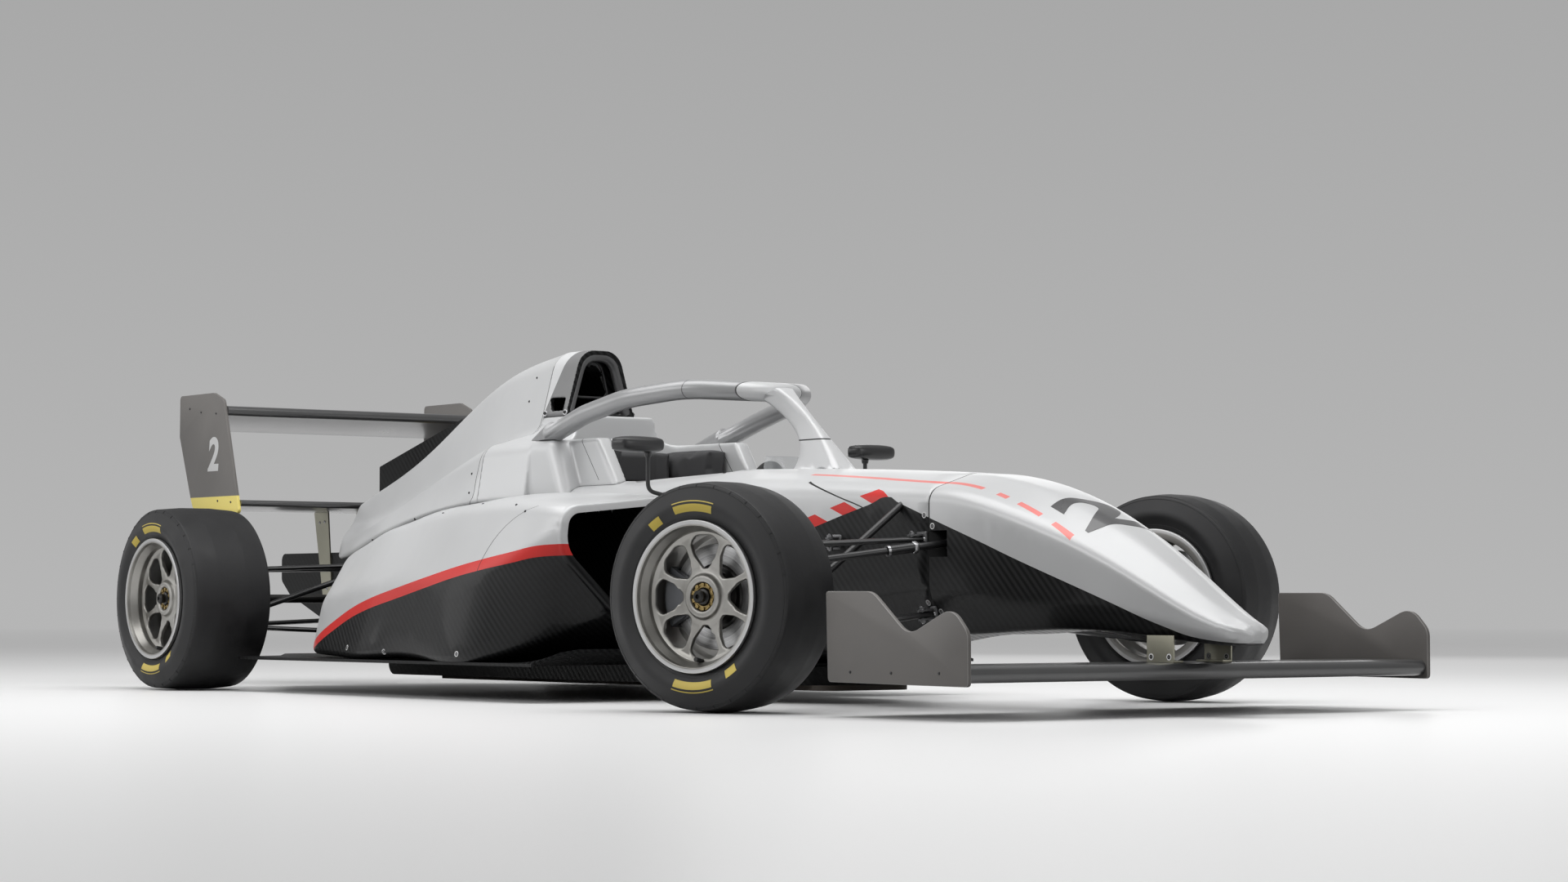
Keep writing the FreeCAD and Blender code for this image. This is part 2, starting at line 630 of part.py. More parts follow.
def make_front_wing():
    inside = FRONT_WING_HALF - ENDPLATE
    plane = wing(inside - GAP, chord=500, thick=40, lead=front(908), height=103, camber=-2, angle=0.5)
    save("front_wing", plane)
    outline = [(404, 288, 10), (560, 287, 30), (712, 188, 42), (850, 252, 42), (905, 208, 30), (914, 76, 12),
               (411, 79, 10)]
    edge = plate([(V(front(d), inside, z), r) for d, z, r in outline], ENDPLATE, Y)
    save("front_wing_endplates", *both(edge))
    web = box((front(794), 90, 60), (front(884), 94, 230))
    shelf = box((front(794), 64, 60), (front(884), 94, 128))
    bracket = join(web, shelf).cut(nose_body()).cut(plane)
    save("front_wing_brackets", *both(bracket.common(box((front(700), 0, 110), (front(900), 200, 214)))))


def make_rear_wing():
    inside = REAR_WING_HALF - ENDPLATE
    plane = wing(inside - GAP, chord=335, thick=34, lead=rear(-352), height=880, camber=-12, angle=-8)
    beam = wing(inside - GAP, chord=190, thick=22, lead=rear(-262), height=580, camber=-6, angle=-4)
    save("rear_wing_planes", plane, beam)
    outline = [(-674, 939, 14), (-439, 939, 24), (-372, 914, 20), (-259, 546, 12), (-579, 571, 12),
               (-597, 607, 12), (-676, 806, 14)]
    edge = plate([(V(rear(d), inside, z), r) for d, z, r in outline], ENDPLATE, Y)
    save("rear_wing_endplates", *both(edge))
    outline = [(-380, 590, 6), (-475, 590, 6), (-400, 250, 10), (-345, 250, 10)]
    pylon = plate([(V(rear(d), CRASH_HALF + GAP, z), r) for d, z, r in outline], 5, Y)
    save("rear_wing_pylons", *both(pylon.cut(beam)))


# ------------------------------------------------------------------ wheels
def spun(profile, y, side, x=0.0):
    """Solid of revolution about a wheel's axle. profile: (outward from its centre plane, radius, corner)."""
    face = Part.Face(rounded([(V(x, side * s, AXLE_Z + r), corner) for s, r, corner in profile]))
    solid = face.revolve(V(x, 0, AXLE_Z), Y, 360)
    solid.translate(V(0, y, 0))
    return solid


# axle x, half tread, half section of the tyre, half width over the rim's flanges, depth of the spokes
WHEELS = (
    ("front", FRONT_AXLE_X, 85.0, 115.0, 112.0, 62.0),
    ("rear", REAR_AXLE_X, 114.5, 143.0, 137.0, 84.0),
)


def tyre_profile(tread, wide, flange):
    half = [(tread * 0.4, TYRE_RADIUS, 90), (tread + 8, TYRE_RADIUS - 6, 12), (wide, 0.80 * TYRE_RADIUS, 30),
            (flange - 14.5, FLANGE_RADIUS - 2, 6), (flange - 14.5, BEAD_RADIUS, 5)]
    outer = [(-out, radius, corner) for out, radius, corner in reversed(half)] + half
    inner = [(flange - 34, BEAD_RADIUS, 3), (flange - 26, FLANGE_RADIUS, 6),
             (wide - TYRE_WALL, 0.80 * TYRE_RADIUS, 24), (tread - 2, TYRE_RADIUS - 6 - TYRE_WALL, 10),
             (-tread + 2, TYRE_RADIUS - 6 - TYRE_WALL, 10), (-wide + TYRE_WALL, 0.80 * TYRE_RADIUS, 24),
             (-flange + 26, FLANGE_RADIUS, 6), (-flange + 34, BEAD_RADIUS, 3)]
    return outer + inner


def rim_profile(flange):
    seat = BEAD_RADIUS - GAP / 3
    return [(-flange, FLANGE_RADIUS, 3), (-flange, seat - 9, 4), (-flange + 40, seat - 9, 6),
            (-flange + 58, 148, 8), (-flange + 88, 148, 8), (-flange + 104, seat - 9, 6), (flange - 12, seat - 9, 6),
            (flange, FLANGE_RADIUS - 5, 3), (flange, FLANGE_RADIUS, 2), (flange - 12, FLANGE_RADIUS, 3),
            (flange - 14, seat, 2), (-flange + 98, seat, 4), (-flange + 86, 154, 6), (-flange + 62, 154, 6),
            (-flange + 48, seat, 4), (-flange + 14, seat, 2), (-flange + 12, FLANGE_RADIUS, 3)]


def spoke_window(y):
    """One of the openings between the spokes, wide at the rim and narrow at the hub."""
    half_turn = math.pi / SPOKES

    def corner(radius, share, bend):
        angle = half_turn * share
        return V(radius * math.sin(angle), 0, AXLE_Z + radius * math.cos(angle)), bend
    outline = [corner(60, -0.42, 7), corner(60, 0.42, 7), corner(128, 0.78, 22), corner(148, 0.42, 18),
               corner(148, -0.42, 18), corner(128, -0.78, 22)]
    outline = [(p + Y * (y - 60), bend) for p, bend in outline]
    return Part.Face(rounded(outline)).extrude(Y * 120)


DRIVESHAFT_INNER = 128.0


def make_wheel(axle, x, tread, wide, flange, face, word, side):
    name = "%s_%s" % (axle, word)
    place = side * WHEEL_Y
    tyre = spun(tyre_profile(tread, wide, flange), place, side)
    rim = spun(rim_profile(flange), place, side)
    disc = spun([(face - 14, 38, 3), (face - 14, 60, 10), (face - 4, 158, 12), (face + 6, 158, 8),
                 (face, 60, 12), (face, 38, 3)], place, side)
    for i in range(SPOKES):
        window = spoke_window(place + side * face)
        window.rotate(V(0, 0, AXLE_Z), Y, 360.0 * (i + 0.5) / SPOKES)
        disc = disc.cut(window)
    rim = join(rim, disc)
    seat = face - 14 - GAP / 3
    spindle = spun([(-46, 0, 0), (-46, 17, 1), (seat - 14, 17, 1), (seat - 14, 54, 3), (seat, 54, 3),
                    (seat, 34, 1), (face + 2, 34, 1), (face + 2, 30, 2), (face + 30, 22, 3), (face + 30, 0, 0)],
                   place, side)
    bell = spun([(0, 56, 2), (0, DISC_RADIUS, 3), (DISC_THICKNESS, DISC_RADIUS, 3), (DISC_THICKNESS, 66, 2),
                 (seat - 6, 54, 1), (seat - 12, 48, 1), (DISC_THICKNESS - 6, 56, 2)], place, side)
    hub = join(spindle, bell)
    if axle == "rear":
        hub = join(hub, rod(V(0, side * DRIVESHAFT_INNER, AXLE_Z), V(0, side * (WHEEL_Y - 40), AXLE_Z), 13))
    pieces = [("tyre", tyre), ("rim", rim), ("hub", hub)]
    for piece, shape in pieces:
        shape.translate(V(x, 0, 0))
        if axle == "front":
            shape = steered(shape, side)
        save("%s_%s" % (piece, name), shape)


# ------------------------------------------------------------------ uprights and suspension
UPPER_Z, LOWER_Z = AXLE_Z + 92.0, AXLE_Z - 92.0
STEER_ARM_Z = AXLE_Z + 56.0
RACK_X, RACK_Z = front(163), 409.0
BALL_JOINT = 20.0           # radius of the joint housings
CALIPER_LOW, CALIPER_HIGH = 76.0, 142.0


def caliper(place, side, x):
    """Brake caliper astride the disc, behind the axle."""
    block = spun([(-24, CALIPER_LOW, 4), (-24, CALIPER_HIGH, 8), (DISC_THICKNESS + 24, CALIPER_HIGH, 8),
                  (DISC_THICKNESS + 24, CALIPER_LOW, 4), (DISC_THICKNESS + 6, CALIPER_LOW, 1),
                  (DISC_THICKNESS + 6, DISC_RADIUS + 6, 1), (-6, DISC_RADIUS + 6, 1), (-6, CALIPER_LOW, 1)],
                 place, side)
    wedge = Part.makeCylinder(170, 400, V(0, place - 200, AXLE_Z), Y, 62)
    wedge.rotate(V(0, 0, AXLE_Z), Y, -90 - 31)
    block = block.common(wedge)
    block.translate(V(x, 0, 0))
    return block


def upright(place, side, x, arm):
    """Bearing housing, spindle bore and the two ball joint lugs. arm is the steering arm's reach."""
    body = plate([(V(-38, 0, LOWER_Z - 6), 12), (V(38, 0, LOWER_Z - 6), 12), (V(52, 0, AXLE_Z), 40),
                  (V(34, 0, UPPER_Z + 6), 12), (V(-34, 0, UPPER_Z + 6), 12), (V(-74, 0, AXLE_Z + 20), 30),
                  (V(-74, 0, AXLE_Z - 20), 30)], 22, Y)
    body.translate(V(0, -11, 0))
    housing = Part.makeCylinder(46, 34, V(0, -11, AXLE_Z), Y)
    body = join(body, housing)
    if side < 0:
        body = mirrored(body)
    body.translate(V(0, side * (WHEEL_Y - 48), 0))
    pieces = [body]
    foot = rod(V(-60, side * (WHEEL_Y - 48), AXLE_Z), V(-92, side * (WHEEL_Y - 15), AXLE_Z), 12)
    pieces.append(foot)
    if arm:
        inner, outer = sorted((side * (KINGPIN_Y - 8), side * (KINGPIN_Y + 8)))
        pieces.append(box((0, inner, STEER_ARM_Z - 12), (arm + 12, outer, STEER_ARM_Z)))
    shape = join(*pieces)
    shape.translate(V(x, 0, 0))
    bore = Part.makeCylinder(17.3, 400, V(x, place - 200, AXLE_Z), Y)
    return join(shape, caliper(place, side, x)).cut(bore)


def make_uprights():
    for word, side in SIDES:
        knuckle = upright(side * WHEEL_Y, side, FRONT_AXLE_X, STEER_ARM)
        save("upright_front_" + word, steered(knuckle, side))
    save("uprights_rear", *both(upright(WHEEL_Y, 1, REAR_AXLE_X, 0)))


def front_suspension():
    tub = hull_loft(TUB_SECTIONS)
    top, bottom = V(FRONT_AXLE_X, KINGPIN_Y, UPPER_Z + 26), V(FRONT_AXLE_X, KINGPIN_Y, LOWER_Z - 26)
    upper = join(leg(V(front(110), 190, 420), top), leg(V(front(-230), 200, 418), top),
                 rod(top - Z * (20 - GAP), top + Z * 14, BALL_JOINT))
    lower = join(leg(V(front(110), 190, 234), bottom), leg(V(front(-250), 200, 226), bottom),
                 rod(bottom - Z * 14, bottom + Z * (20 - GAP), BALL_JOINT))
    pushrod = rod(V(front(14), KINGPIN_Y - 46, LOWER_Z - 14), V(front(20), 190, 516), 9)
    return both(upper.cut(tub)) + both(lower.cut(tub)), both(pushrod.cut(tub).cut(lower).Solids[0])


def rear_suspension():
    """Wishbones ahead of and behind the axle, with a lug on the upright's inner face."""
    reach = WHEEL_Y - 59 - BALL_JOINT - GAP
    top, bottom = V(REAR_AXLE_X, reach, UPPER_Z - 6), V(REAR_AXLE_X, reach, LOWER_Z + 8)
    upper = join(leg(V(rear(210), 100, 385), top), leg(V(rear(-120), 60, 372), top),
                 rod(top - Z * 17, top + Z * 17, BALL_JOINT))
    lower = join(leg(V(rear(260), 100, 165), bottom), leg(V(rear(-225), 50, 212), bottom),
                 rod(bottom - Z * 17, bottom + Z * 17, BALL_JOINT))
    pushrod = rod(V(rear(52), reach - 30, LOWER_Z + 34), V(rear(52), 80, 395), 9)
    gearbox = gearbox_body()
    return both(upper.cut(gearbox)) + both(lower.cut(gearbox)), both(pushrod.cut(gearbox).cut(lower))


def make_track_rods():
    """Steering rack and its two track rods."""
    rest = math.radians(STEER_REST)
    shift = STEER_ARM * math.sin(rest)
    reach = STEER_ARM * math.cos(rest)
    parts = []
    for word, side in SIDES:
        eye = V(FRONT_AXLE_X + reach, side * KINGPIN_Y + shift, STEER_ARM_Z + 12)
        inner = V(RACK_X, side * 196 + shift, RACK_Z)
        parts.append(rod(eye - Z * (12 - GAP), eye + Z * 7, 13))
        parts.append(rod(inner, eye, 9))
    parts.append(rod(V(RACK_X, -200 + shift, RACK_Z), V(RACK_X, 200 + shift, RACK_Z), 9))
    save("track_rods", join(*parts))


# ------------------------------------------------------------------ run
make_monocoque()
make_nose()
make_surround()
make_cover()
make_fin()
make_roll_hoop()
make_sidepods()
make_radiators()
make_floor()
make_plank()
make_powertrain()
make_halo()
make_windscreen()
make_mirrors()
make_seat()
make_headrest()
make_dash()
make_steering_wheel()
make_front_wing()
make_rear_wing()
for wheel in WHEELS:
    for word, side in SIDES:
        make_wheel(*wheel, word, side)
make_uprights()
front_arms, front_rods = front_suspension()
rear_arms, rear_rods = rear_suspension()
save("wishbones", *(front_arms + rear_arms))
save("pushrods", *(front_rods + rear_rods))
make_track_rods()
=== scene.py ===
# %% [markdown]
# # An open wheel racing car
#
# The car is a carbon tub with a nose, sidepods and an engine cover fastened to it, two wings, and four
# bare wheels on wishbones. Its hard pieces come from the CAD model at their real size. This script gives
# every surface its finish, and models again the pieces whose charm is in their curves: tyres, rims, panels.

# %% The frame
import json
import math
from contextlib import contextmanager

import bpy
from mathutils import Matrix, Vector
from mathutils.bvhtree import BVHTree


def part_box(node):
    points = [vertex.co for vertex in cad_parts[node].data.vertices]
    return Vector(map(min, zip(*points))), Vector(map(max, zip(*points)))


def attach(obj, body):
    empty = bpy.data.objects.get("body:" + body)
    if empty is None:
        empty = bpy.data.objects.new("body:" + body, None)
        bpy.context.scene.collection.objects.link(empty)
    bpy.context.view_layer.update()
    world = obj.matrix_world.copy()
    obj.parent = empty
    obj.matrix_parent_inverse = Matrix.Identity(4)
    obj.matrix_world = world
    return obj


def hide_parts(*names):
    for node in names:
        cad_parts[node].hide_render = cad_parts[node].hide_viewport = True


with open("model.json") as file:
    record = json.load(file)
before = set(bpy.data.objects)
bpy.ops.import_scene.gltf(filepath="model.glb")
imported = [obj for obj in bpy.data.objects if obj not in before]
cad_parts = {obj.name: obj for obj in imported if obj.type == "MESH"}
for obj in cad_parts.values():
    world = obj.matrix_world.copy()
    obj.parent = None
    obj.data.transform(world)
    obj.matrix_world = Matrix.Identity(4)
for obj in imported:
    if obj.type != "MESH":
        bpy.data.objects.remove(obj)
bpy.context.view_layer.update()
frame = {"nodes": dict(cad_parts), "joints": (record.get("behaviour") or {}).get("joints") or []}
joints = {joint["name"]: joint for joint in frame["joints"]}

# %% [markdown]
# The driving sizes are read from the frame. The front wheels are parked at a steering angle, so a front
# wheel's centre and axle come from its spin joint, and a rear wheel's from its own.

# %% Driving sizes
SIDES = {"left": 1, "right": -1}


def wheel_joint(name):
    """Centre and outward axle of a wheel, as vectors."""
    joint = joints["spin_" + name]
    return Vector(joint["pos_m"]), Vector(joint["axis"]).normalized() * SIDES[name.split("_")[1]]


TYRE_RADIUS = wheel_joint("rear_left")[0].z
FRONT_AXLE = (wheel_joint("front_left")[0].x + wheel_joint("front_right")[0].x) / 2
REAR_AXLE = wheel_joint("rear_left")[0].x
STEER_REST = math.degrees(math.asin(-joints["spin_front_left"]["axis"][0]))
print("wheelbase", round(FRONT_AXLE - REAR_AXLE, 3), "parked steering angle", round(STEER_REST, 1))

# %% [markdown]
# Every piece is made the same way: a primitive is added, shaped in edit mode, and finished with modifiers
# that are applied. These helpers hold the steps that repeat. `finish` puts a piece's place into its mesh,
# shades it, hands it its material and lets it ride on its body.

# %% Helpers for modelling
def only(*chosen):
    """Selects these objects alone and makes the first one active."""
    if bpy.context.mode != "OBJECT":
        bpy.ops.object.mode_set(mode="OBJECT")
    bpy.ops.object.select_all(action="DESELECT")
    for item in chosen:
        item.select_set(True)
    bpy.context.view_layer.objects.active = chosen[0]
    return chosen[0]


@contextmanager
def editing(piece):
    """Edit mode with the whole piece selected, for as long as the with block lasts."""
    only(piece)
    bpy.ops.object.mode_set(mode="EDIT")
    bpy.ops.mesh.select_all(action="SELECT")
    yield
    bpy.ops.object.mode_set(mode="OBJECT")


def settle(piece):
    """Writes an object's place, turn and scale into its mesh."""
    only(piece)
    bpy.ops.object.transform_apply(location=True, rotation=True, scale=True)
    return piece


def modify(piece, kind, **settings):
    """Adds one modifier, sets it and applies it."""
    only(piece)
    modifier = piece.modifiers.new(kind.lower(), kind)
    for key, value in settings.items():
        setattr(modifier, key, value)
    bpy.ops.object.modifier_apply(modifier=modifier.name)
    return piece


def ease(piece, width, segments=2, degrees=40, **more):
    """Bevels the edges that are sharper than an angle."""
    return modify(piece, "BEVEL", width=width, segments=segments, limit_method="ANGLE",
                  angle_limit=math.radians(degrees), **more)


def removed(*pieces):
    for piece in pieces:
        bpy.data.objects.remove(piece)


def carve(piece, cutter):
    """Cuts one solid out of another and drops the cutter."""
    modify(piece, "BOOLEAN", operation="DIFFERENCE", object=cutter, solver="EXACT")
    removed(cutter)
    return piece


def weld(piece, distance=1e-5):
    """Merges doubled vertices and turns every face outwards."""
    with editing(piece):
        bpy.ops.mesh.remove_doubles(threshold=distance)
        bpy.ops.mesh.normals_make_consistent(inside=False)
    return piece


def merged(pieces):
    """Joins several objects into the first."""
    only(*pieces)
    if len(pieces) > 1:
        bpy.ops.object.join()
    return bpy.context.object


def twin(piece):
    """A copy of a piece with its own mesh."""
    copy = piece.copy()
    copy.data = piece.data.copy()
    bpy.context.scene.collection.objects.link(copy)
    return copy


def across(piece):
    """The same piece on the other side of the car."""
    copy = twin(piece)
    copy.data.transform(Matrix.Diagonal((1, -1, 1, 1)))
    copy.data.flip_normals()
    return copy


def paint(piece, *materials):
    piece.data.materials.clear()
    for material in materials:
        piece.data.materials.append(material)
    return piece


def finish(piece, name, body, slot, *materials, replaces=(), smooth=35):
    """Last step of a piece: place, shading, finish, body and the CAD nodes it stands for."""
    settle(piece)
    piece.name = name
    piece.data.name = name
    if materials:
        paint(piece, *materials)
    only(piece)
    bpy.ops.object.shade_smooth_by_angle(angle=math.radians(smooth))
    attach(piece, body)
    if replaces:
        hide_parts(*replaces)
    return piece


# %% [markdown]
# Small hardware such as screws, rods and collars starts from a cylinder or a cube, laid along an axis. Plates
# and turned pieces start from a circle whose vertices are set in turn along an outline.

# %% Helpers for simple solids
def cylinder(radius, start, end, sides=32, taper=1.0):
    """A rod from start to end. taper is the far end's share of the radius."""
    start, end = Vector(start), Vector(end)
    line = end - start
    bpy.ops.mesh.primitive_cone_add(vertices=sides, radius1=radius, radius2=radius * taper, depth=line.length,
                                    location=(start + end) / 2,
                                    rotation=line.to_track_quat("Z", "Y").to_euler())
    return settle(bpy.context.object)


def block(low, high, bevel=0.0, segments=2):
    """A box between two corners, with rounded edges if bevel is given."""
    low, high = Vector(low), Vector(high)
    bpy.ops.mesh.primitive_cube_add(size=1, location=(low + high) / 2, scale=high - low)
    piece = settle(bpy.context.object)
    return modify(piece, "BEVEL", width=bevel, segments=segments) if bevel else piece


def ring_of(points):
    """A closed ring of vertices through these points."""
    bpy.ops.mesh.primitive_circle_add(vertices=len(points), radius=1)
    piece = bpy.context.object
    for vertex, point in zip(piece.data.vertices, points):
        vertex.co = point
    return piece


def cut_plate(outline, near, far):
    """A flat plate with this (x, z) outline, from near to far along Y."""
    piece = ring_of([(x, near, z) for x, z in outline])
    with editing(piece):
        bpy.ops.mesh.edge_face_add()
        bpy.ops.mesh.extrude_region_move(TRANSFORM_OT_translate={"value": (0, far - near, 0)})
    return weld(piece)


def lathe(profile, steps=96):
    """Turns a closed profile of (outward, radius) pairs about the wheel's axle, which lies along Y here."""
    piece = ring_of([(0, outward, radius) for outward, radius in profile])
    with editing(piece):
        bpy.ops.mesh.spin(steps=steps, angle=math.tau, center=(0, 0, 0), axis=(0, 1, 0))
    return weld(piece)


# %% [markdown]
# ## Camera, floor and light
#
# The camera stands low beside the right front wheel with a long lens, and looks slightly up.

# %% Camera
CAMERA_PLACE = Vector((7.783, -5.471, 0.256))
CAMERA_HEADING, CAMERA_PITCH = math.radians(143.232), math.radians(2.793)
bpy.ops.object.camera_add(location=CAMERA_PLACE,
                          rotation=(math.pi / 2 + CAMERA_PITCH, 0, CAMERA_HEADING - math.pi / 2))
camera = bpy.context.object
camera.data.lens = 77.24
camera.data.sensor_width = 36
camera.data.clip_end = 500
bpy.context.scene.camera = camera
bpy.context.scene.view_settings.view_transform = "Standard"

# %% [markdown]
# The studio is a pale floor that runs out into a grey backdrop. The floor is one large disc. Far away its
# colour fades into the backdrop's grey, so that no edge shows. The backdrop is the world's colour as the
# camera sees it, and the light that the world gives the car is a separate, plain one. The floor is pale to
# the eye, but it throws less light back up, so the undersides of the panels stay dark.
#
# Node trees are laid out on a bench: one tree is on it at a time, and the helpers add their nodes to it.

# %% Node helpers
bench = {}


def lay_out(owner):
    """Puts the node tree of a world or a material on the bench."""
    owner.use_nodes = True
    bench["tree"] = owner.node_tree
    return owner


def feed(value, socket):
    """Sets a socket to a number or a colour, or links it to another node's output."""
    if isinstance(value, bpy.types.NodeSocket):
        bench["tree"].links.new(value, socket)
    else:
        socket.default_value = value


def add(kind, **values):
    """A new node. Keywords set its settings, and feed its sockets where 'in_' comes first."""
    made = bench["tree"].nodes.new("ShaderNode" + kind)
    for key, value in values.items():
        if key.startswith("in_"):
            place = key[3:]
            feed(value, made.inputs[int(place) if place.isdigit() else place.replace("_", " ")])
        else:
            setattr(made, key, value)
    return made


def shader_socket(name):
    return bench["tree"].nodes["Principled BSDF"].inputs[name]


def maths(operation, *operands):
    """A Math node. Each operand is a number or an output socket."""
    made = add("Math", operation=operation)
    for socket, operand in zip(made.inputs, operands):
        feed(operand, socket)
    return made.outputs[0]


def ramp(value, *stops):
    """A colour ramp over (position, colour) stops. A grey may be one number."""
    made = add("ValToRGB", in_0=value)
    elements = made.color_ramp.elements
    while len(elements) < len(stops):
        elements.new(0.5)
    for element, (position, colour) in zip(elements, stops):
        element.position = position
        element.color = (*((colour,) * 3 if isinstance(colour, (int, float)) else colour), 1)
    return made.outputs[0]


def seen_or_lit(lit, seen):
    """Two shaders: lit for the light on the car, seen for a look, straight, in a mirror or through glass."""
    rays = add("LightPath").outputs
    looks = maths("MAXIMUM", rays["Is Camera Ray"], rays["Is Glossy Ray"])
    looks = maths("MAXIMUM", looks, rays["Is Transmission Ray"])
    return add("MixShader", in_0=looks, in_1=lit.outputs[0], in_2=seen.outputs[0]).outputs[0]


# %% World
BACKDROP_GREY, BACKDROP_TOP = 0.465, 0.375
SKY_STRENGTH = 0.47
world = bpy.data.worlds.new("studio")
bpy.context.scene.world = world
lay_out(world).node_tree.nodes.clear()
parts = add("SeparateXYZ", in_0=add("TexCoord").outputs["Generated"])
height = maths("MULTIPLY_ADD", parts.outputs["Z"], 2.0, 0.3)
backdrop = ramp(height, (0.30, BACKDROP_GREY), (0.75, BACKDROP_TOP))
sky = ramp(height, (0.0, 0.12), (0.3, 0.22), (1.0, 1.0))
given = add("Background", in_Color=sky, in_Strength=SKY_STRENGTH)
add("OutputWorld", in_0=seen_or_lit(given, add("Background", in_Color=backdrop, in_Strength=1.0)))

# %% Floor
FLOOR_SIZE = 80.0
FLOOR_WHITE, FLOOR_BOUNCE = 0.94, 0.14      # as it looks, and as it lights the car from below
FADE_START, FADE_END = 13.0, 30.0
bpy.ops.mesh.primitive_circle_add(vertices=96, radius=FLOOR_SIZE, fill_type="NGON", location=(0, 0, -0.001))
floor = bpy.context.object
floor.name = "studio_floor"
floor_finish = lay_out(bpy.data.materials.new("floor_white"))
feed((FLOOR_WHITE, FLOOR_WHITE, FLOOR_WHITE, 1), shader_socket("Base Color"))
feed(0.35, shader_socket("Roughness"))
feed(0.3, shader_socket("Specular IOR Level"))
centred = add("VectorMath", operation="LENGTH", in_0=add("TexCoord").outputs["Object"])
beyond_start = maths("SUBTRACT", centred.outputs["Value"], FADE_START)
away = maths("DIVIDE", beyond_start, FADE_END - FADE_START)
grey = add("Emission", in_Color=(BACKDROP_GREY, BACKDROP_GREY, BACKDROP_GREY, 1))
faded = add("MixShader", in_0=ramp(away, (0.0, 0.0), (1.0, 1.0)),
            in_1=floor_finish.node_tree.nodes["Principled BSDF"].outputs[0], in_2=grey.outputs[0])
bounce = add("BsdfDiffuse", in_Color=(FLOOR_BOUNCE, FLOOR_BOUNCE, FLOOR_BOUNCE, 1))
feed(seen_or_lit(bounce, faded), floor_finish.node_tree.nodes["Material Output"].inputs[0])
paint(floor, floor_finish)

# %% [markdown]
# The light is soft: one broad lamp overhead, a long one along the right side, one behind it that the upright
# panels reflect, and weak ones from the nose and the left.

# %% Lamps
LAMPS = (
    # name          place                aims at            size        watts
    ("overhead",    (0.5, -0.6, 4.6),    (0.0, 0.0, 0.3),   (7.0, 3.2), 195),
    ("right_side",  (0.0, -7.0, 3.6),    (-0.2, 0.0, 0.5),  (7.0, 2.4), 140),
    ("right_rear",  (-6.5, -6.0, 2.6),   (-0.8, 0.0, 0.6),  (5.0, 3.0), 75),
    ("from_nose",   (7.5, 1.5, 2.6),     (0.5, 0.0, 0.4),   (2.5, 2.5), 40),
    ("left_rear",   (-4.5, 6.0, 3.0),    (-0.5, 0.0, 0.5),  (5.0, 2.0), 50),
)
for name, where, target, size, watts in LAMPS:
    bpy.ops.object.light_add(type="AREA", location=where)
    lamp = bpy.context.object
    lamp.name = name
    lamp.rotation_euler = (Vector(target) - Vector(where)).to_track_quat("-Z", "Y").to_euler()
    lamp.data.shape = "RECTANGLE"
    lamp.data.size, lamp.data.size_y = size
    lamp.data.energy = watts
print("lamps:", ", ".join(row[0] for row in LAMPS))

# %% [markdown]
# ## Finishes
#
# One function makes the shader of every finish: colour, roughness, metal and clear coat are set on its own
# sockets. Wear, weave and grain are added after that as noise on the colour, the roughness and the bump.

# %% Finish helpers
def new_finish(name, colour, roughness, metallic=0.0, coat=0.0, coat_roughness=0.06, specular=0.5):
    """A plain finish, which stays on the bench until the next one is made."""
    made = lay_out(bpy.data.materials.new(name))
    for socket, value in (("Base Color", (*colour, 1)), ("Roughness", roughness), ("Metallic", metallic),
                          ("Coat Weight", coat), ("Coat Roughness", coat_roughness),
                          ("Specular IOR Level", specular)):
        feed(value, shader_socket(socket))
    return made


def object_place():
    """Object coordinates: the car's own metres, since every piece's object sits at the origin."""
    return add("TexCoord").outputs["Object"]


def axes():
    """The X, Y and Z of the object coordinates."""
    return add("SeparateXYZ", in_0=object_place()).outputs


def noise(scale, detail=3.0):
    return add("TexNoise", in_Vector=object_place(), in_Scale=scale, in_Detail=detail).outputs["Fac"]


def tones(value, dark, light):
    """A colour between two tones as a value goes from 0.35 to 0.65."""
    return ramp(value, (0.35, dark), (0.65, light))


def vary_roughness(value, low, high):
    spread = add("MapRange", in_0=value, in_1=0.3, in_2=0.7, in_3=low, in_4=high)
    feed(spread.outputs[0], shader_socket("Roughness"))


def bumpy(value, strength, distance=0.001):
    bump = add("Bump", in_Height=value, in_Strength=strength, in_Distance=distance)
    feed(bump.outputs[0], shader_socket("Normal"))


def tinted(colour, share):
    return tuple(min(channel * share, 1) for channel in colour)


TONE_SHARES, ROUGHNESS_SHARES = (0.88, 1.08), (0.85, 1.15)


def plain_finish(name, colour, roughness, grain=60.0, depth=0.15, **more):
    """A finish with the faint tone, gloss and grain changes that any real surface has."""
    made = new_finish(name, colour, roughness, **more)
    broad = noise(4.0)
    feed(tones(broad, *(tinted(colour, share) for share in TONE_SHARES)), shader_socket("Base Color"))
    vary_roughness(broad, *(roughness * share for share in ROUGHNESS_SHARES))
    bumpy(noise(grain, 4.0), depth)
    return made


# %% [markdown]
# Masks are numbers that are 1 where something is and 0 elsewhere. They choose which colour shows.

# %% Masks
def between(value, low, high):
    """1 where a value lies between two limits, 0 elsewhere."""
    return maths("MULTIPLY", maths("GREATER_THAN", value, low), maths("LESS_THAN", value, high))


def any_of(masks):
    total = masks[0]
    for mask in masks[1:]:
        total = maths("MAXIMUM", total, mask)
    return total


def over(mask, under, upper):
    """One colour laid over another where the mask is 1. upper is a colour or a socket."""
    upper = (*upper, 1) if isinstance(upper, tuple) else upper
    return add("Mix", data_type="RGBA", in_0=mask, in_6=under, in_7=upper).outputs[2]


def recolour(mask, colour):
    """Lays a colour over the finish on the bench where the mask is 1."""
    base = shader_socket("Base Color")
    feed(over(mask, base.links[0].from_socket, colour), base)


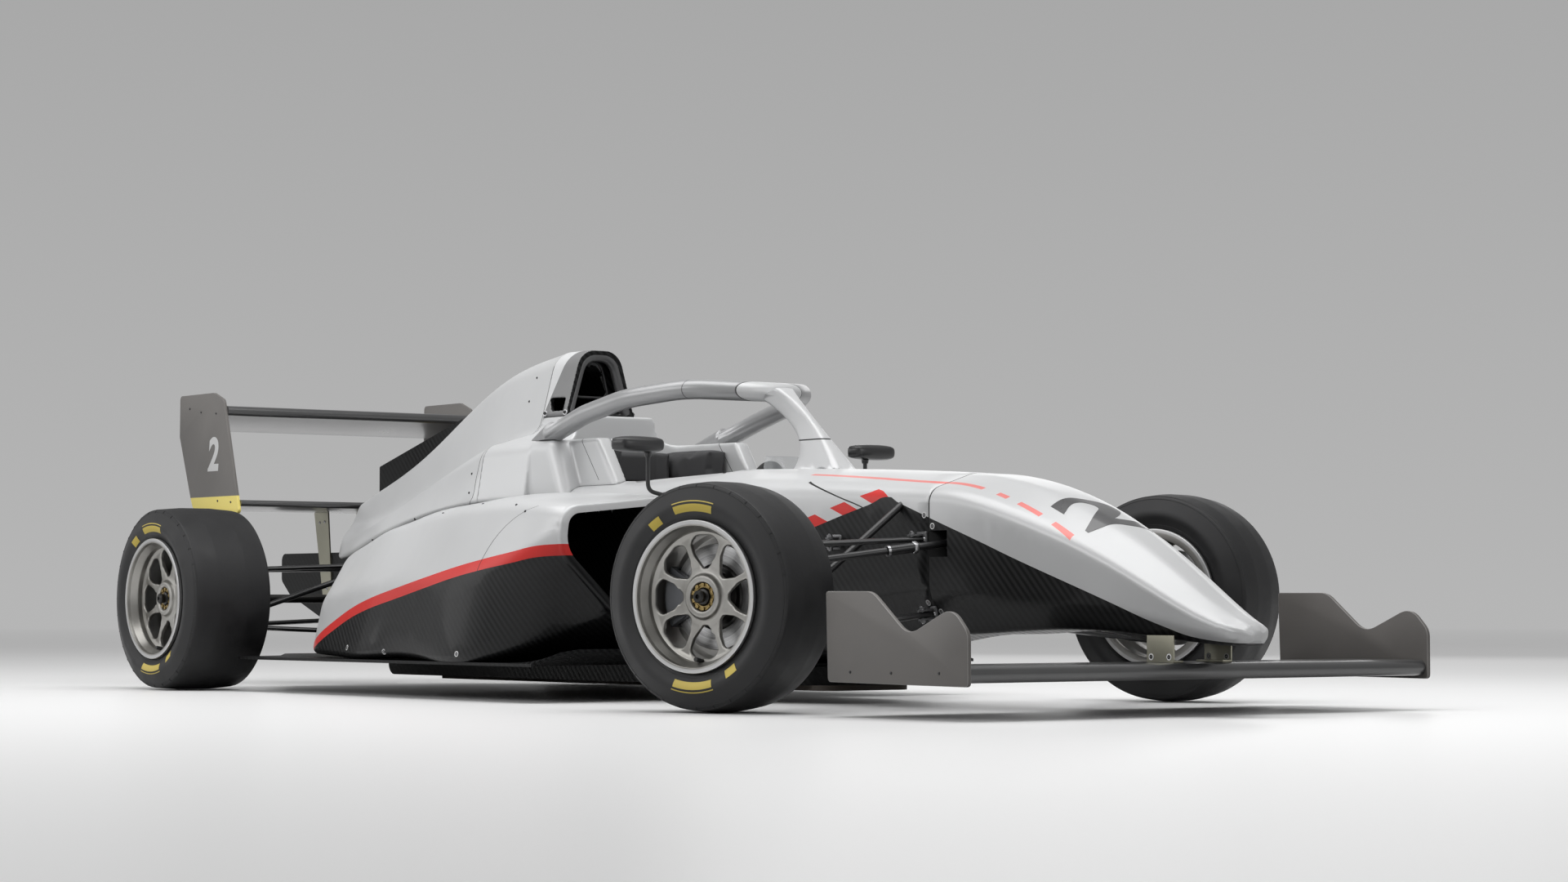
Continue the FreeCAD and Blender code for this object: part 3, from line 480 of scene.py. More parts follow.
# %% [markdown]
# The weave of the carbon is a twill: each tow goes over two and under two, and every row is stepped by
# one, so the cloth shows diagonal ribs. The ribs run along one diagonal of the car's axes, which crosses
# the sides, the top and the ends of the car at a slant, and a finer set across them gives the tows.

# %% Carbon weave
RIB_PITCH, TOWS_PER_RIB, TOW_SHARE = 0.024, 6, 0.25


def twill():
    """Height of the weave, from 0 to 1."""
    x, y, z = axes()
    diagonal = maths("ADD", maths("ADD", x, y), z)
    other = maths("SUBTRACT", maths("SUBTRACT", x, y), z)
    rib = maths("SINE", maths("MULTIPLY", diagonal, math.tau / RIB_PITCH))
    tow = maths("SINE", maths("MULTIPLY", other, TOWS_PER_RIB * math.tau / RIB_PITCH))
    return maths("MULTIPLY_ADD", maths("MULTIPLY_ADD", tow, TOW_SHARE, rib), 0.4, 0.5)


def carbon_tones(weave):
    return ramp(weave, (0.2, (0.003, 0.003, 0.0033)), (0.8, (0.017, 0.0175, 0.018)))


carbon = new_finish("carbon", (0.012, 0.012, 0.013), 0.42, coat=0.02, coat_roughness=0.16, specular=0.14)
weave = twill()
feed(carbon_tones(weave), shader_socket("Base Color"))
vary_roughness(weave, 0.34, 0.50)
bumpy(weave, 0.10)
print("carbon: a rib every", RIB_PITCH, "m along the diagonal")

# %% [markdown]
# The panels wear pearl silver over bare carbon, parted by a red stripe. The boundary belongs to the
# panel's shape: a height that changes along the car. A Float Curve holds that height, and the colour is
# chosen by whether a point is above it, inside the stripe or below. A panel joint is a thin dark line,
# either across the car at one x or along a curve on its side.

# %% Lines on the panels
CURVE_LOW, CURVE_SPAN = -2.5, 5.0
SEAM = 0.0011       # half width of a panel joint


def height_curve(x_socket, points):
    """Height as a function of x, through (x, height) points in metres."""
    made = add("FloatCurve",
               in_Value=maths("DIVIDE", maths("SUBTRACT", x_socket, CURVE_LOW), CURVE_SPAN))
    curve = made.mapping.curves[0]
    while len(curve.points) < len(points):
        curve.points.new(0.5, 0.5)
    for point, (x, z) in zip(curve.points, sorted(points)):
        point.location = ((x - CURVE_LOW) / CURVE_SPAN, z)
        point.handle_type = "AUTO"
    made.mapping.update()
    return made.outputs[0]


def seam_mask(place, seams):
    """Panel joints: ("x", place), or ("x of z" / "z of x", (x, z) points) as a line drawn on the side."""
    masks = []
    for kind, where in seams:
        if kind == "x":
            masks.append(between(place["X"], where - SEAM, where + SEAM))
            continue
        if kind == "x of z":
            known, other, lowest, span, thick = "Z", "X", CURVE_LOW, CURVE_SPAN, 1.2
            where = [(z, x) for x, z in where]
        else:
            known, other, lowest, span, thick = "X", "Z", 0.0, 1.0, 1.6
        share = height_curve(place[known], [(a, (b - lowest) / span) for a, b in where])
        line = maths("MULTIPLY_ADD", share, span, lowest)
        within = between(place[known], min(where)[0], max(where)[0])
        offset = maths("SUBTRACT", place[other], line)
        masks.append(maths("MULTIPLY", within, between(offset, -SEAM * thick, SEAM * thick)))
    return any_of(masks)


# %% Livery
# The last colour is the dashes' red made paler: a painted highlight for the light that washes the top.
SILVER, RED, DASH_RED_PAINTED_HIGHLIGHT = (0.63, 0.635, 0.64), (0.72, 0.045, 0.04), (0.80, 0.25, 0.23)
GROOVE_BLACK = (0.012, 0.012, 0.012)
CHECK_HEIGHT, CHECK_SLANT = 0.032, 1.45
DASH_SIDE, DASH_LOWEST = (0.137, 0.152), 0.38
PEARL_METAL, PEARL_ROUGHNESS, WEAVE_ROUGHNESS, GROOVE_DEPTH = 0.17, 0.33, 0.14, 3.0
CLOUD_SCALE, CLOUD_TONES, CLOUD_ROUGHNESS = 2.5, (0.96, 1.03), 0.06


def livery(name, boundary=(), stripe=0.0, checks=(), dashes=(), seams=()):
    """Pearl silver above the boundary and carbon below it.

    stripe is the width of the red stripe above the boundary. checks are red boxes standing on it, from x
    to x. dashes are red marks on the top, from x to x, made paler as a painted highlight. seams are the panel
    joints.
    """
    made = new_finish(name, SILVER, PEARL_ROUGHNESS, PEARL_METAL,
                      coat=0.09, coat_roughness=0.08, specular=0.20)
    place, weave, broad = axes(), twill(), noise(CLOUD_SCALE)
    colour = tones(broad, *(tinted(SILVER, share) for share in CLOUD_TONES))
    rough, relief, dull = PEARL_ROUGHNESS, 0.0, []
    if boundary:
        above = maths("SUBTRACT", place["Z"], height_curve(place["X"], boundary))
        bare = maths("LESS_THAN", above, 0.0)
        dull.append(bare)
        relief = maths("MULTIPLY", weave, bare)
        rough = maths("MULTIPLY_ADD", relief, WEAVE_ROUGHNESS, PEARL_ROUGHNESS)
        colour = over(bare, colour, carbon_tones(weave))
        marks = [between(above, 0.0, stripe)] if stripe else []
        for start, end in checks:
            slanted = maths("MULTIPLY_ADD", above, CHECK_SLANT, place["X"])
            marks.append(maths("MULTIPLY", between(above, 0.0, CHECK_HEIGHT),
                               between(slanted, start, end)))
        if marks:
            dull.append(any_of(marks))
            colour = over(dull[-1], colour, RED)
    if dashes:
        aside = between(maths("ABSOLUTE", place["Y"]), *DASH_SIDE)
        along = any_of([between(place["X"], start, end) for start, end in dashes])
        high = maths("GREATER_THAN", place["Z"], DASH_LOWEST)
        dashed = maths("MULTIPLY", maths("MULTIPLY", aside, along), high)
        # The dashes are real red marks, and their paler red is a painted highlight.
        colour = over(dashed, colour, DASH_RED_PAINTED_HIGHLIGHT)
    if seams:
        groove = seam_mask(place, seams)
        dull.append(groove)
        relief = maths("MULTIPLY_ADD", groove, -GROOVE_DEPTH, relief)
        colour = over(groove, colour, GROOVE_BLACK)
    feed(colour, shader_socket("Base Color"))
    feed(maths("MULTIPLY_ADD", broad, CLOUD_ROUGHNESS, rough), shader_socket("Roughness"))
    if dull:
        pearl = maths("SUBTRACT", 1.0, any_of(dull))
        feed(maths("MULTIPLY", pearl, PEARL_METAL), shader_socket("Metallic"))
        bumpy(relief, 0.12)
    return made


# %% The painted panels
NOSE_JOINT = 1.335
TUB_EDGE = ((0.2, 0.265), (0.60, 0.372), (0.92, 0.459), (1.011, 0.484), (1.12, 0.512), (1.178, 0.528),
            (1.208, 0.516), (1.332, 0.473), (1.50, 0.415))
NOSE_EDGE = ((1.20, 0.519), (1.332, 0.473), (1.511, 0.412), (1.627, 0.369), (1.778, 0.313), (1.92, 0.259),
             (2.054, 0.207), (2.139, 0.181), (2.27, 0.168))
POD_EDGE = ((-1.1, 0.085), (-0.95, 0.140), (-0.821, 0.183), (-0.704, 0.216), (-0.55, 0.245), (-0.371, 0.275),
            (-0.203, 0.304), (-0.046, 0.331), (0.079, 0.349), (0.216, 0.368), (0.295, 0.382), (0.348, 0.386),
            (0.42, 0.387))
# The lip is a real raised panel edge. Its dark groove line also stands for the shade under the step, a
# painted shadow.
LIP_EDGE_AND_SHADOW = ((0.856, 0.574), (0.941, 0.549), (1.008, 0.528), (1.077, 0.506), (1.13, 0.482))
DECK_SEAM = ((1.16, 0.4635), (1.25, 0.4625), (1.33, 0.4615))
POD_SEAM = ((0.256, 0.519), (0.187, 0.493), (0.119, 0.445), (0.083, 0.392), (0.068, 0.340), (0.054, 0.279),
            (0.042, 0.212), (0.032, 0.104))
COVER_SEAM = ((-0.594, 0.545), (-0.572, 0.569), (-0.569, 0.625), (-0.560, 0.700), (-0.545, 0.960))
HALO_JOINT = 0.392
tub_livery = livery("tub_livery", TUB_EDGE, checks=((0.906, 0.958), (1.013, 1.066), (1.120, 1.178)),
                    dashes=((0.78, 1.40),),
                    seams=(("x", NOSE_JOINT - 0.001), ("z of x", LIP_EDGE_AND_SHADOW), ("z of x", DECK_SEAM)))
nose_livery = livery("nose_livery", NOSE_EDGE,
                     dashes=((1.30, 1.473), (1.527, 1.564), (1.605, 1.685), (1.730, 1.797)),
                     seams=(("x", NOSE_JOINT + 0.001),))
pod_livery = livery("pod_livery", POD_EDGE, stripe=0.030, seams=(("x of z", POD_SEAM),))
cover_livery = livery("cover_livery", seams=(("x of z", COVER_SEAM),))
silver_paint = livery("silver_paint")
halo_paint = livery("halo_paint",
                    seams=(("x", 0.292), ("x", HALO_JOINT), ("z of x", ((0.45, 0.700), (0.80, 0.700)))))

# %% The halo's tube
# Behind its front joint the halo is a plain metal tube, darker than the painted fork.
TUBE_GREY, TUBE_SHARE, TUBE_METAL = (0.22, 0.22, 0.225), 0.62, 0.25
tube = maths("LESS_THAN", axes()["X"], HALO_JOINT)
recolour(maths("MULTIPLY", tube, TUBE_SHARE), TUBE_GREY)
metal = shader_socket("Metallic")
feed(maths("MULTIPLY_ADD", tube, TUBE_METAL, metal.links[0].from_socket), metal)

# %% Plain finishes
wing_gloss = plain_finish("wing_gloss", (0.050, 0.050, 0.051), 0.30,
                          coat=0.8, coat_roughness=0.20, specular=0.6)
hoop_grey = plain_finish("hoop_grey", (0.045, 0.045, 0.046), 0.48)
black_steel = plain_finish("black_steel", (0.022, 0.022, 0.023), 0.36, metallic=0.2, coat=0.2)
plated_steel = plain_finish("plated_steel", (0.36, 0.35, 0.28), 0.38, metallic=0.75)
cast_alloy = plain_finish("cast_alloy", (0.22, 0.22, 0.225), 0.55, grain=300.0, depth=0.5, metallic=0.7)
machined_steel = plain_finish("machined_steel", (0.42, 0.42, 0.43), 0.30, metallic=1.0)
caliper_grey = plain_finish("caliper_grey", (0.13, 0.135, 0.145), 0.42, metallic=0.6)
radiator_alloy = plain_finish("radiator_alloy", (0.20, 0.20, 0.205), 0.5, metallic=0.8)
lamp_red = plain_finish("lamp_red", (0.30, 0.012, 0.012), 0.18, coat=0.6)
pad_cloth = plain_finish("pad_cloth", (0.055, 0.055, 0.057), 0.85, grain=700.0, depth=0.6)
grip_black = plain_finish("grip_black", (0.018, 0.018, 0.018), 0.62, grain=500.0, depth=0.5)
plank_board = plain_finish("plank_board", (0.05, 0.04, 0.032), 0.7)
mirror_glass = new_finish("mirror_glass", (0.75, 0.76, 0.78), 0.04, metallic=1.0)
white_paint = plain_finish("white_paint", (0.72, 0.72, 0.72), 0.4)
yellow_paint = plain_finish("yellow_paint", (0.72, 0.56, 0.11), 0.5)
glass_clear = new_finish("glass_clear", (0.42, 0.44, 0.45), 0.12)
feed(0.24, shader_socket("Alpha"))
glass_clear.surface_render_method = "BLENDED"
print("finishes:", len(bpy.data.materials))

# %% [markdown]
# ## Wheels
#
# Each wheel is a slick on a deep one-piece rim of eight spokes. Every round piece is turned about the axle
# from its half profile, as it would be on a lathe. The profiles are written as corners with a rounding
# radius, outward from the wheel's centre plane and then the radius, so that they can be read as a drawing.

# %% Wheel profiles
WHEELS = {
    # half tread, half section, half width over the flanges, spoke plane
    "front": (0.085, 0.115, 0.112, 0.062),
    "rear": (0.1145, 0.143, 0.137, 0.084),
}
FLANGE_RADIUS, BEAD_RADIUS, TYRE_WALL = 0.1825, 0.165, 0.011
SPOKES = 8
NEARLY_STRAIGHT = 1.55      # half the angle of a corner that needs no rounding


def softened(corners, steps=5):
    """Closed outline through corners (a, b, radius), each one rounded by an arc."""
    outline = []
    for place, (a, b, radius) in enumerate(corners):
        point = Vector((a, b))
        before = Vector(corners[place - 1][:2]) - point
        after = Vector(corners[(place + 1) % len(corners)][:2]) - point
        half = before.angle(after) / 2
        if radius == 0 or half > NEARLY_STRAIGHT:
            outline.append(point)
            continue
        reach = min(radius / math.tan(half), 0.48 * before.length, 0.48 * after.length)
        radius = reach * math.tan(half)
        centre = point + (before.normalized() + after.normalized()).normalized() * radius / math.sin(half)
        start, end = point + before.normalized() * reach, point + after.normalized() * reach
        sweep = (end - centre).angle_signed(start - centre)
        for step in range(steps + 1):
            arm = (start - centre).copy()
            arm.rotate(Matrix.Rotation(sweep * step / steps, 2))
            outline.append(centre + arm)
    return outline


def turned(corners, arcs=3, steps=48):
    return lathe(softened(corners, arcs), steps)


def tyre_outline(tread, wide, flange, face):
    shoulder = 0.80 * TYRE_RADIUS
    half = [(tread * 0.4, TYRE_RADIUS, 0.090), (tread + 0.008, TYRE_RADIUS - 0.006, 0.012),
            (wide, shoulder, 0.030), (flange - 0.0145, FLANGE_RADIUS - 0.002, 0.006),
            (flange - 0.0145, BEAD_RADIUS, 0.005)]
    inner = [(flange - 0.034, BEAD_RADIUS, 0.003), (flange - 0.026, FLANGE_RADIUS, 0.006),
             (wide - TYRE_WALL, shoulder, 0.024), (tread - 0.002, TYRE_RADIUS - 0.006 - TYRE_WALL, 0.010)]
    mirrored = [[(-out, radius, soft) for out, radius, soft in reversed(line)] for line in (half, inner)]
    return softened(mirrored[0] + half + inner + mirrored[1], 6)


def side_at(outline, radius):
    """Where a tyre's outer side has a radius: index, point, direction down the side, direction outwards."""
    for place, (first, second) in enumerate(zip(outline, outline[1:])):
        if first.x > 0 and first.y >= radius > second.y:
            along = (second - first).normalized()
            point = first.lerp(second, (first.y - radius) / (first.y - second.y))
            return place, point, along, Vector((-along.y, along.x))
    raise ValueError("no side at radius %r" % radius)


def ridged(outline, rings, width=0.0016, height=0.0007):
    """The outline with small raised rings on both sides of the tyre."""
    points = list(outline)
    for radius in rings:
        for side in SIDES:
            place, middle, along, out = side_at(points, radius)
            foot, top = along * width / 2, along * width / 4
            points[place + 1:place + 1] = [middle - foot, middle - top + out * height,
                                           middle + top + out * height, middle + foot]
            points = [Vector((-point.x, point.y)) for point in reversed(points)]
    return points


# %% [markdown]
# A wheel's pieces are modelled with the axle along Y and then carried to the joint. The place that each
# vertex had in the wheel's own axes is kept in an attribute, for the finishes that run round the axle.

# %% Placing a wheel's pieces
def keep_local(piece):
    """Stores the vertices' places in the wheel's own axes."""
    attribute = piece.data.attributes.new("wheel_place", "FLOAT_VECTOR", "POINT")
    for vertex, value in zip(piece.data.vertices, attribute.data):
        value.vector = vertex.co
    return piece


def fit_wheels(axle, piece, name, slot, material, stands_for=None, smooth=35):
    """A copy of a piece on both wheels of an axle, with Y along the outward axle. %s is the wheel's name."""
    for side in SIDES:
        wheel = axle + "_" + side
        centre, outward = wheel_joint(wheel)
        copy = twin(piece)
        turn = Matrix.Rotation(math.atan2(-outward.x, outward.y), 4, "Z")
        copy.data.transform(Matrix.Translation(centre) @ turn)
        finish(copy, name % wheel, "wheel_" + wheel, slot, material,
               replaces=(stands_for % wheel,) if stands_for else (), smooth=smooth)
    print(axle, name.replace("_%s", ""), len(piece.data.polygons), "faces")
    removed(piece)


def round_the_axle(piece, count):
    """Copies of a piece at equal turns about the axle, joined with it."""
    pieces = []
    for step in range(count):
        copy = twin(piece)
        copy.data.transform(Matrix.Rotation(math.tau * step / count, 4, "Y"))
        pieces.append(copy)
    removed(piece)
    return merged(pieces)


# %% Finishes that run round the axle
def wheel_radius():
    """Distance from the axle."""
    place = add("Attribute", attribute_name="wheel_place").outputs["Vector"]
    x, y, z = add("SeparateXYZ", in_0=place).outputs
    return maths("SQRT", maths("ADD", maths("POWER", x, 2.0), maths("POWER", z, 2.0)))


def ringed_noise(rings):
    """Noise that changes with the distance from the axle and hardly round it."""
    waver = maths("MULTIPLY", noise(9.0, 2.0), 1.2)
    vector = add("CombineXYZ", in_0=maths("MULTIPLY", wheel_radius(), rings), in_2=waver)
    return add("TexNoise", in_Vector=vector.outputs[0], in_Scale=1.0, in_Detail=4.0).outputs["Fac"]


def beyond(edge, fade_start, fade_end):
    """0 inside a radius and 1 outside it, with a fade that is given in centimetres from the edge."""
    centimetres = maths("MULTIPLY_ADD", wheel_radius(), 100.0, -100.0 * edge)
    return ramp(centimetres, (fade_start, 0.0), (fade_end, 1.0))


tyre_rubber = new_finish("tyre_rubber", (0.02, 0.02, 0.02), 0.55, specular=0.38)
scuffs = noise(14.0, 4.0)
side_tone = tones(scuffs, (0.020, 0.020, 0.021), (0.027, 0.027, 0.028))
tread_tone = tones(scuffs, (0.010, 0.010, 0.011), (0.017, 0.017, 0.018))
on_tread = beyond(0.266, 0.2, 0.6)
feed(over(on_tread, side_tone, tread_tone), shader_socket("Base Color"))
vary_roughness(scuffs, 0.46, 0.66)
bumpy(maths("MULTIPLY", noise(260.0, 5.0), maths("MULTIPLY_ADD", on_tread, 0.8, 0.2)), 0.35)

rim_alloy = new_finish("rim_alloy", (0.34, 0.335, 0.32), 0.36, metallic=0.85)
grime = noise(7.0, 4.0)
feed(tones(grime, (0.27, 0.262, 0.245), (0.38, 0.373, 0.355)), shader_socket("Base Color"))
recolour(beyond(0.169, 0.2, 0.5), (0.52, 0.52, 0.52))
vary_roughness(grime, 0.30, 0.46)
bumpy(noise(380.0, 3.0), 0.12, 0.0005)

disc_steel = new_finish("disc_steel", (0.5, 0.5, 0.5), 0.34, metallic=0.9)
scratches = ringed_noise(900.0)
feed(tones(scratches, (0.34, 0.34, 0.345), (0.60, 0.60, 0.60)), shader_socket("Base Color"))
vary_roughness(scratches, 0.26, 0.48)
bumpy(scratches, 0.4, 0.0004)

# %% [markdown]
# The slick has a smooth crown, a softly rounded shoulder and a nearly flat side. Two fine moulded rings run
# round its shoulder, joined by short ticks, and one more sits beside the rim. The yellow marks on its side
# are plain bars, bent to the side's own curve.

# %% Tyres
RINGS = (0.2685, 0.2615, 0.193)
MARKS = (
    # radii of the rows,            start and end angle, steps
    ((0.203, 0.209, 0.215, 0.221), -0.27, 0.27, 24),
    ((0.2265, 0.2290),             -0.28, 0.28, 24),
    ((0.198, 0.204, 0.210, 0.218), 0.49, 0.66, 6),
)


def side_patch(outline, radii, start, end, steps, rise=0.0004):
    """A thin patch on the tyre's outer side between two radii and two angles from the top."""
    rows = []
    for radius in radii:
        place, point, along, out = side_at(outline, radius)
        rows.append(point + out * rise)
    bpy.ops.mesh.primitive_grid_add(x_subdivisions=steps, y_subdivisions=len(radii) - 1)
    piece = bpy.context.object
    for index, vertex in enumerate(piece.data.vertices):
        row, step = divmod(index, steps + 1)
        angle = start + (end - start) * step / steps
        vertex.co = (rows[row].y * math.sin(angle), rows[row].x, rows[row].y * math.cos(angle))
    return piece


for axle, sizes in WHEELS.items():
    outline = tyre_outline(*sizes)
    carcass = lathe(ridged(outline, RINGS), 144)
    tick = side_patch(outline, (0.2610, 0.2650, 0.2690), 0.0, 0.0050, 1, 0.0006)
    modify(tick, "SOLIDIFY", thickness=0.0016, offset=0)
    tyre = keep_local(merged([carcass, round_the_axle(tick, 32)]))
    marks = merged([side_patch(outline, *row) for row in MARKS])
    weld(modify(marks, "SOLIDIFY", thickness=0.0006, offset=0))
    fit_wheels(axle, tyre, "slick_%s", "tyre_rubber", tyre_rubber, "tyre_%s", 32)
    fit_wheels(axle, round_the_axle(marks, 2), "tyre_marks_%s", "tyre_rubber", yellow_paint)

# %% [markdown]
# The rim is cast in one piece and then turned: a stepped barrel with a flat light lip, and a dished centre
# of eight slim spokes that flare into the barrel and the hub. The centre is a turned disc with eight windows
# cut through it. It is then remeshed and smoothed, which rounds every edge as a casting's edges are.

# %% Rims
WINDOW = ((0.069, 6.5, 0.009), (0.104, 18.6, 0.050), (0.138, 18.6, 0.016), (0.1485, 9.0, 0.020))


def rim_corners(flange):
    seat = BEAD_RADIUS - 0.0001
    return [(-flange, FLANGE_RADIUS, 0.003), (-flange, seat - 0.009, 0.004),
            (-flange + 0.040, seat - 0.009, 0.006), (-flange + 0.058, 0.148, 0.008),
            (-flange + 0.088, 0.148, 0.008), (-flange + 0.104, seat - 0.009, 0.006),
            (flange - 0.030, seat - 0.009, 0.012), (flange - 0.010, seat + 0.002, 0.010),
            (flange - 0.0005, seat + 0.004, 0.0012), (flange, FLANGE_RADIUS, 0.002),
            (flange - 0.012, FLANGE_RADIUS, 0.003),
            (flange - 0.014, seat, 0.002), (-flange + 0.098, seat, 0.004), (-flange + 0.086, 0.154, 0.006),
            (-flange + 0.062, 0.154, 0.006), (-flange + 0.048, seat, 0.004), (-flange + 0.014, seat, 0.002),
            (-flange + 0.012, FLANGE_RADIUS, 0.003)]


def from_face(face, *corners):
    """Profile corners whose outward place is measured from the spoke plane."""
    return [(face + out, radius, soft) for out, radius, soft in corners]


def window_cutter(face):
    """A prism with the outline of one opening between two spokes."""
    corners = [(radius * math.sin(math.radians(degrees)), radius * math.cos(math.radians(degrees)), soft)
               for radius, degrees, soft in WINDOW]
    outline = softened(corners + [(-a, b, soft) for a, b, soft in reversed(corners)], 5)
    return cut_plate(outline, face - 0.05, face + 0.05)


def make_rim(flange, face):
    barrel = turned(rim_corners(flange), 4, 128)
    centre = turned(from_face(face, (-0.014, 0.034, 0.001), (-0.014, 0.062, 0.010), (-0.012, 0.100, 0.03),
                              (-0.006, 0.150, 0.010), (0.000, 0.1615, 0.002), (0.012, 0.1615, 0.002),
                              (0.005, 0.146, 0.012), (0.003, 0.104, 0.03), (-0.001, 0.072, 0.006),
                              (0.001, 0.055, 0.004), (0.014, 0.050, 0.002), (0.013, 0.036, 0.001),
                              (0.008, 0.034, 0.001)), 3, 96)
    carve(centre, round_the_axle(window_cutter(face), SPOKES))
    modify(centre, "REMESH", mode="VOXEL", voxel_size=0.0024)
    modify(centre, "SMOOTH", factor=0.5, iterations=7)
    return merged([barrel, centre])


for axle, (tread, wide, flange, face) in WHEELS.items():
    fit_wheels(axle, keep_local(make_rim(flange, face)), "rim_%s_cast", "rim_metal", rim_alloy, "rim_%s", 40)

# %% [markdown]
# Behind the spokes sit the brake disc on its bell and the hub. The wheel is held by a castellated ring in
# the middle of the rim, with the dark tip of the spindle standing out of it. Each is turned from a profile.

# %% Hubs and brake discs
SEAT_BACK = 0.0141          # from the spoke plane back to the hub's flange
DISC = ((0, 0.080, 0.001), (0, 0.127, 0.001), (0.007, 0.127, 0.001), (0.007, 0.122, 0), (0.011, 0.122, 0),
        (0.011, 0.127, 0.001), (0.018, 0.127, 0.001), (0.018, 0.080, 0.001))
DRIVE_BOOT = ((-0.140, 0.012, 0), (-0.140, 0.020, 0.002), (-0.125, 0.030, 0.004), (-0.118, 0.024, 0.002),
              (-0.110, 0.034, 0.003), (-0.103, 0.028, 0.002), (-0.094, 0.038, 0.003), (-0.074, 0.038, 0.002),
              (-0.074, 0.012, 0))


def make_bell(seat):
    return turned([(0.002, 0.056, 0.001), (0.002, 0.0805, 0.001), (0.016, 0.0805, 0.001),
                   (0.021, 0.074, 0.003), (0.021, 0.062, 0.003), (seat - 0.006, 0.053, 0.002),
                   (seat - 0.010, 0.048, 0.002), (0.014, 0.050, 0.002)], 3, 64)


def make_spindle(axle, face, seat):
    """Flange and stepped spindle with a drilled tip. A rear one has its driveshaft and the joint's boot."""
    tip = from_face(face, (0.001, 0.033, 0.001), (0.001, 0.021, 0.001), (0.010, 0.019, 0.002),
                    (0.011, 0.013, 0.001), (0.020, 0.013, 0.001), (0.021, 0.0155, 0.001),
                    (0.026, 0.0155, 0.001), (0.030, 0.012, 0.001), (0.030, 0.006, 0.001),
                    (0.022, 0.005, 0.001), (0.022, 0.001, 0))
    pieces = [turned([(-0.046, 0.001, 0), (-0.046, 0.017, 0.001), (seat - 0.014, 0.017, 0.001),
                      (seat - 0.014, 0.0535, 0.002), (seat, 0.0535, 0.002), (seat, 0.033, 0.001)] + tip)]
    if axle == "rear":
        inner = 0.128 - wheel_joint("rear_left")[0].y
        pieces += [cylinder(0.013, (0, inner, 0), (0, -0.040, 0), 32), turned(DRIVE_BOOT)]
    return merged(pieces)


def make_castle(face):
    """The locking ring with its teeth."""
    ring = turned(from_face(face, (0.0005, 0.0225, 0.0005), (0.0005, 0.0325, 0.0005), (0.006, 0.0325, 0.0005),
                            (0.006, 0.0225, 0.0005)), 2)
    tooth = block((-0.0045, face + 0.004, 0.0245), (0.0045, face + 0.0105, 0.0325), 0.0008)
    return merged([ring, round_the_axle(tooth, 10)])


def make_valve(face):
    """Black valve stem low in the barrel."""
    return merged([cylinder(0.0042, (0, face + 0.004, -0.1535), (0, face + 0.030, -0.1495), 16),
                   cylinder(0.0055, (0, face + 0.020, -0.1511), (0, face + 0.036, -0.1486), 16)])


castle_gold = plain_finish("castle_gold", (0.30, 0.22, 0.09), 0.42, metallic=0.85)
spindle_black = plain_finish("spindle_black", (0.03, 0.029, 0.028), 0.34, metallic=0.6)
for axle, (tread, wide, flange, face) in WHEELS.items():
    seat = face - SEAT_BACK
    fit_wheels(axle, keep_local(turned(DISC, 2, 96)), "brake_disc_%s", "machined_steel", disc_steel)
    fit_wheels(axle, make_bell(seat), "disc_bell_%s", "black_steel", spindle_black)
    fit_wheels(axle, make_castle(face), "lock_ring_%s", "machined_steel", castle_gold)
    fit_wheels(axle, make_valve(face), "valve_%s", "black_grip", grip_black)
    fit_wheels(axle, make_spindle(axle, face, seat), "spindle_%s", "black_steel", spindle_black, "hub_%s")

# %% [markdown]
# ## Bodywork
#
# The panels are moulded carbon shells. Their form is the CAD model's, which was lofted through sections, so
# each one is taken over as a copy whose doubled vertices are merged: it then shades as one smooth panel. The
# inside of a shell isn't painted. The faces that look into the shell are found with rays and left carbon.

# %% Taking over a CAD piece
FAR_AWAY = 2.0
surfaces = {}


def surface(node):
    """Search tree over a CAD piece's faces."""
    if node not in surfaces:
        mesh = frame["nodes"][node].data
        surfaces[node] = BVHTree.FromPolygons([vertex.co for vertex in mesh.vertices],
                                              [face.vertices for face in mesh.polygons])
    return surfaces[node]


def touch(node, start, direction):
    """Point and outward normal where a straight line first meets a CAD piece."""
    point, normal, index, distance = surface(node).ray_cast(Vector(start), Vector(direction).normalized())
    if point is None:
        raise ValueError("the line from %s misses %s" % (tuple(start), node))
    return point, -normal if normal.dot(Vector(direction)) > 0 else normal


def side_point(node, x, z, side=-1):
    return touch(node, (x, side * FAR_AWAY, z), (0, -side, 0))


def copy_of(node):
    """A merged, visible copy of a CAD piece."""
    copy = twin(frame["nodes"][node])
    copy.parent = None
    for key in list(copy.keys()):
        del copy[key]
    copy.hide_render = False
    copy.hide_viewport = False
    copy.hide_set(False)
    copy.data.materials.clear()
    return weld(copy, 2e-6)


def cut_away(piece, place, normal):
    """Cuts a solid with a plane, drops the side that the normal points to and closes the cut."""
    with editing(piece):
        bpy.ops.mesh.bisect(plane_co=place, plane_no=normal, use_fill=True, clear_outer=True)
    return piece


# %% Panels
PANELS = (
    # CAD node         outside       inside   reach of the rays
    ("nose_cone",      nose_livery,  None,    0.0),
    ("engine_cover",   cover_livery, carbon,  1.0),
    ("sidepods",       pod_livery,   carbon,  0.7),
    ("halo",           halo_paint,   None,    0.0),
    ("monocoque",      tub_livery,   carbon,  0.6),
)
for node, outside, inside, reach in PANELS:
    made = paint(copy_of(node), outside)
    if inside:
        made.data.materials.append(inside)
        for face in made.data.polygons:
            hit = surface(node).ray_cast(face.center + face.normal * 0.002, face.normal, reach)
            face.material_index = 1 if hit[0] is not None and hit[1].dot(face.normal) < -0.2 else 0
    finish(made, node + "_panel", "chassis", "paint_silver", replaces=(node,), smooth=30)
    print(made.name, len(made.data.polygons), "faces")

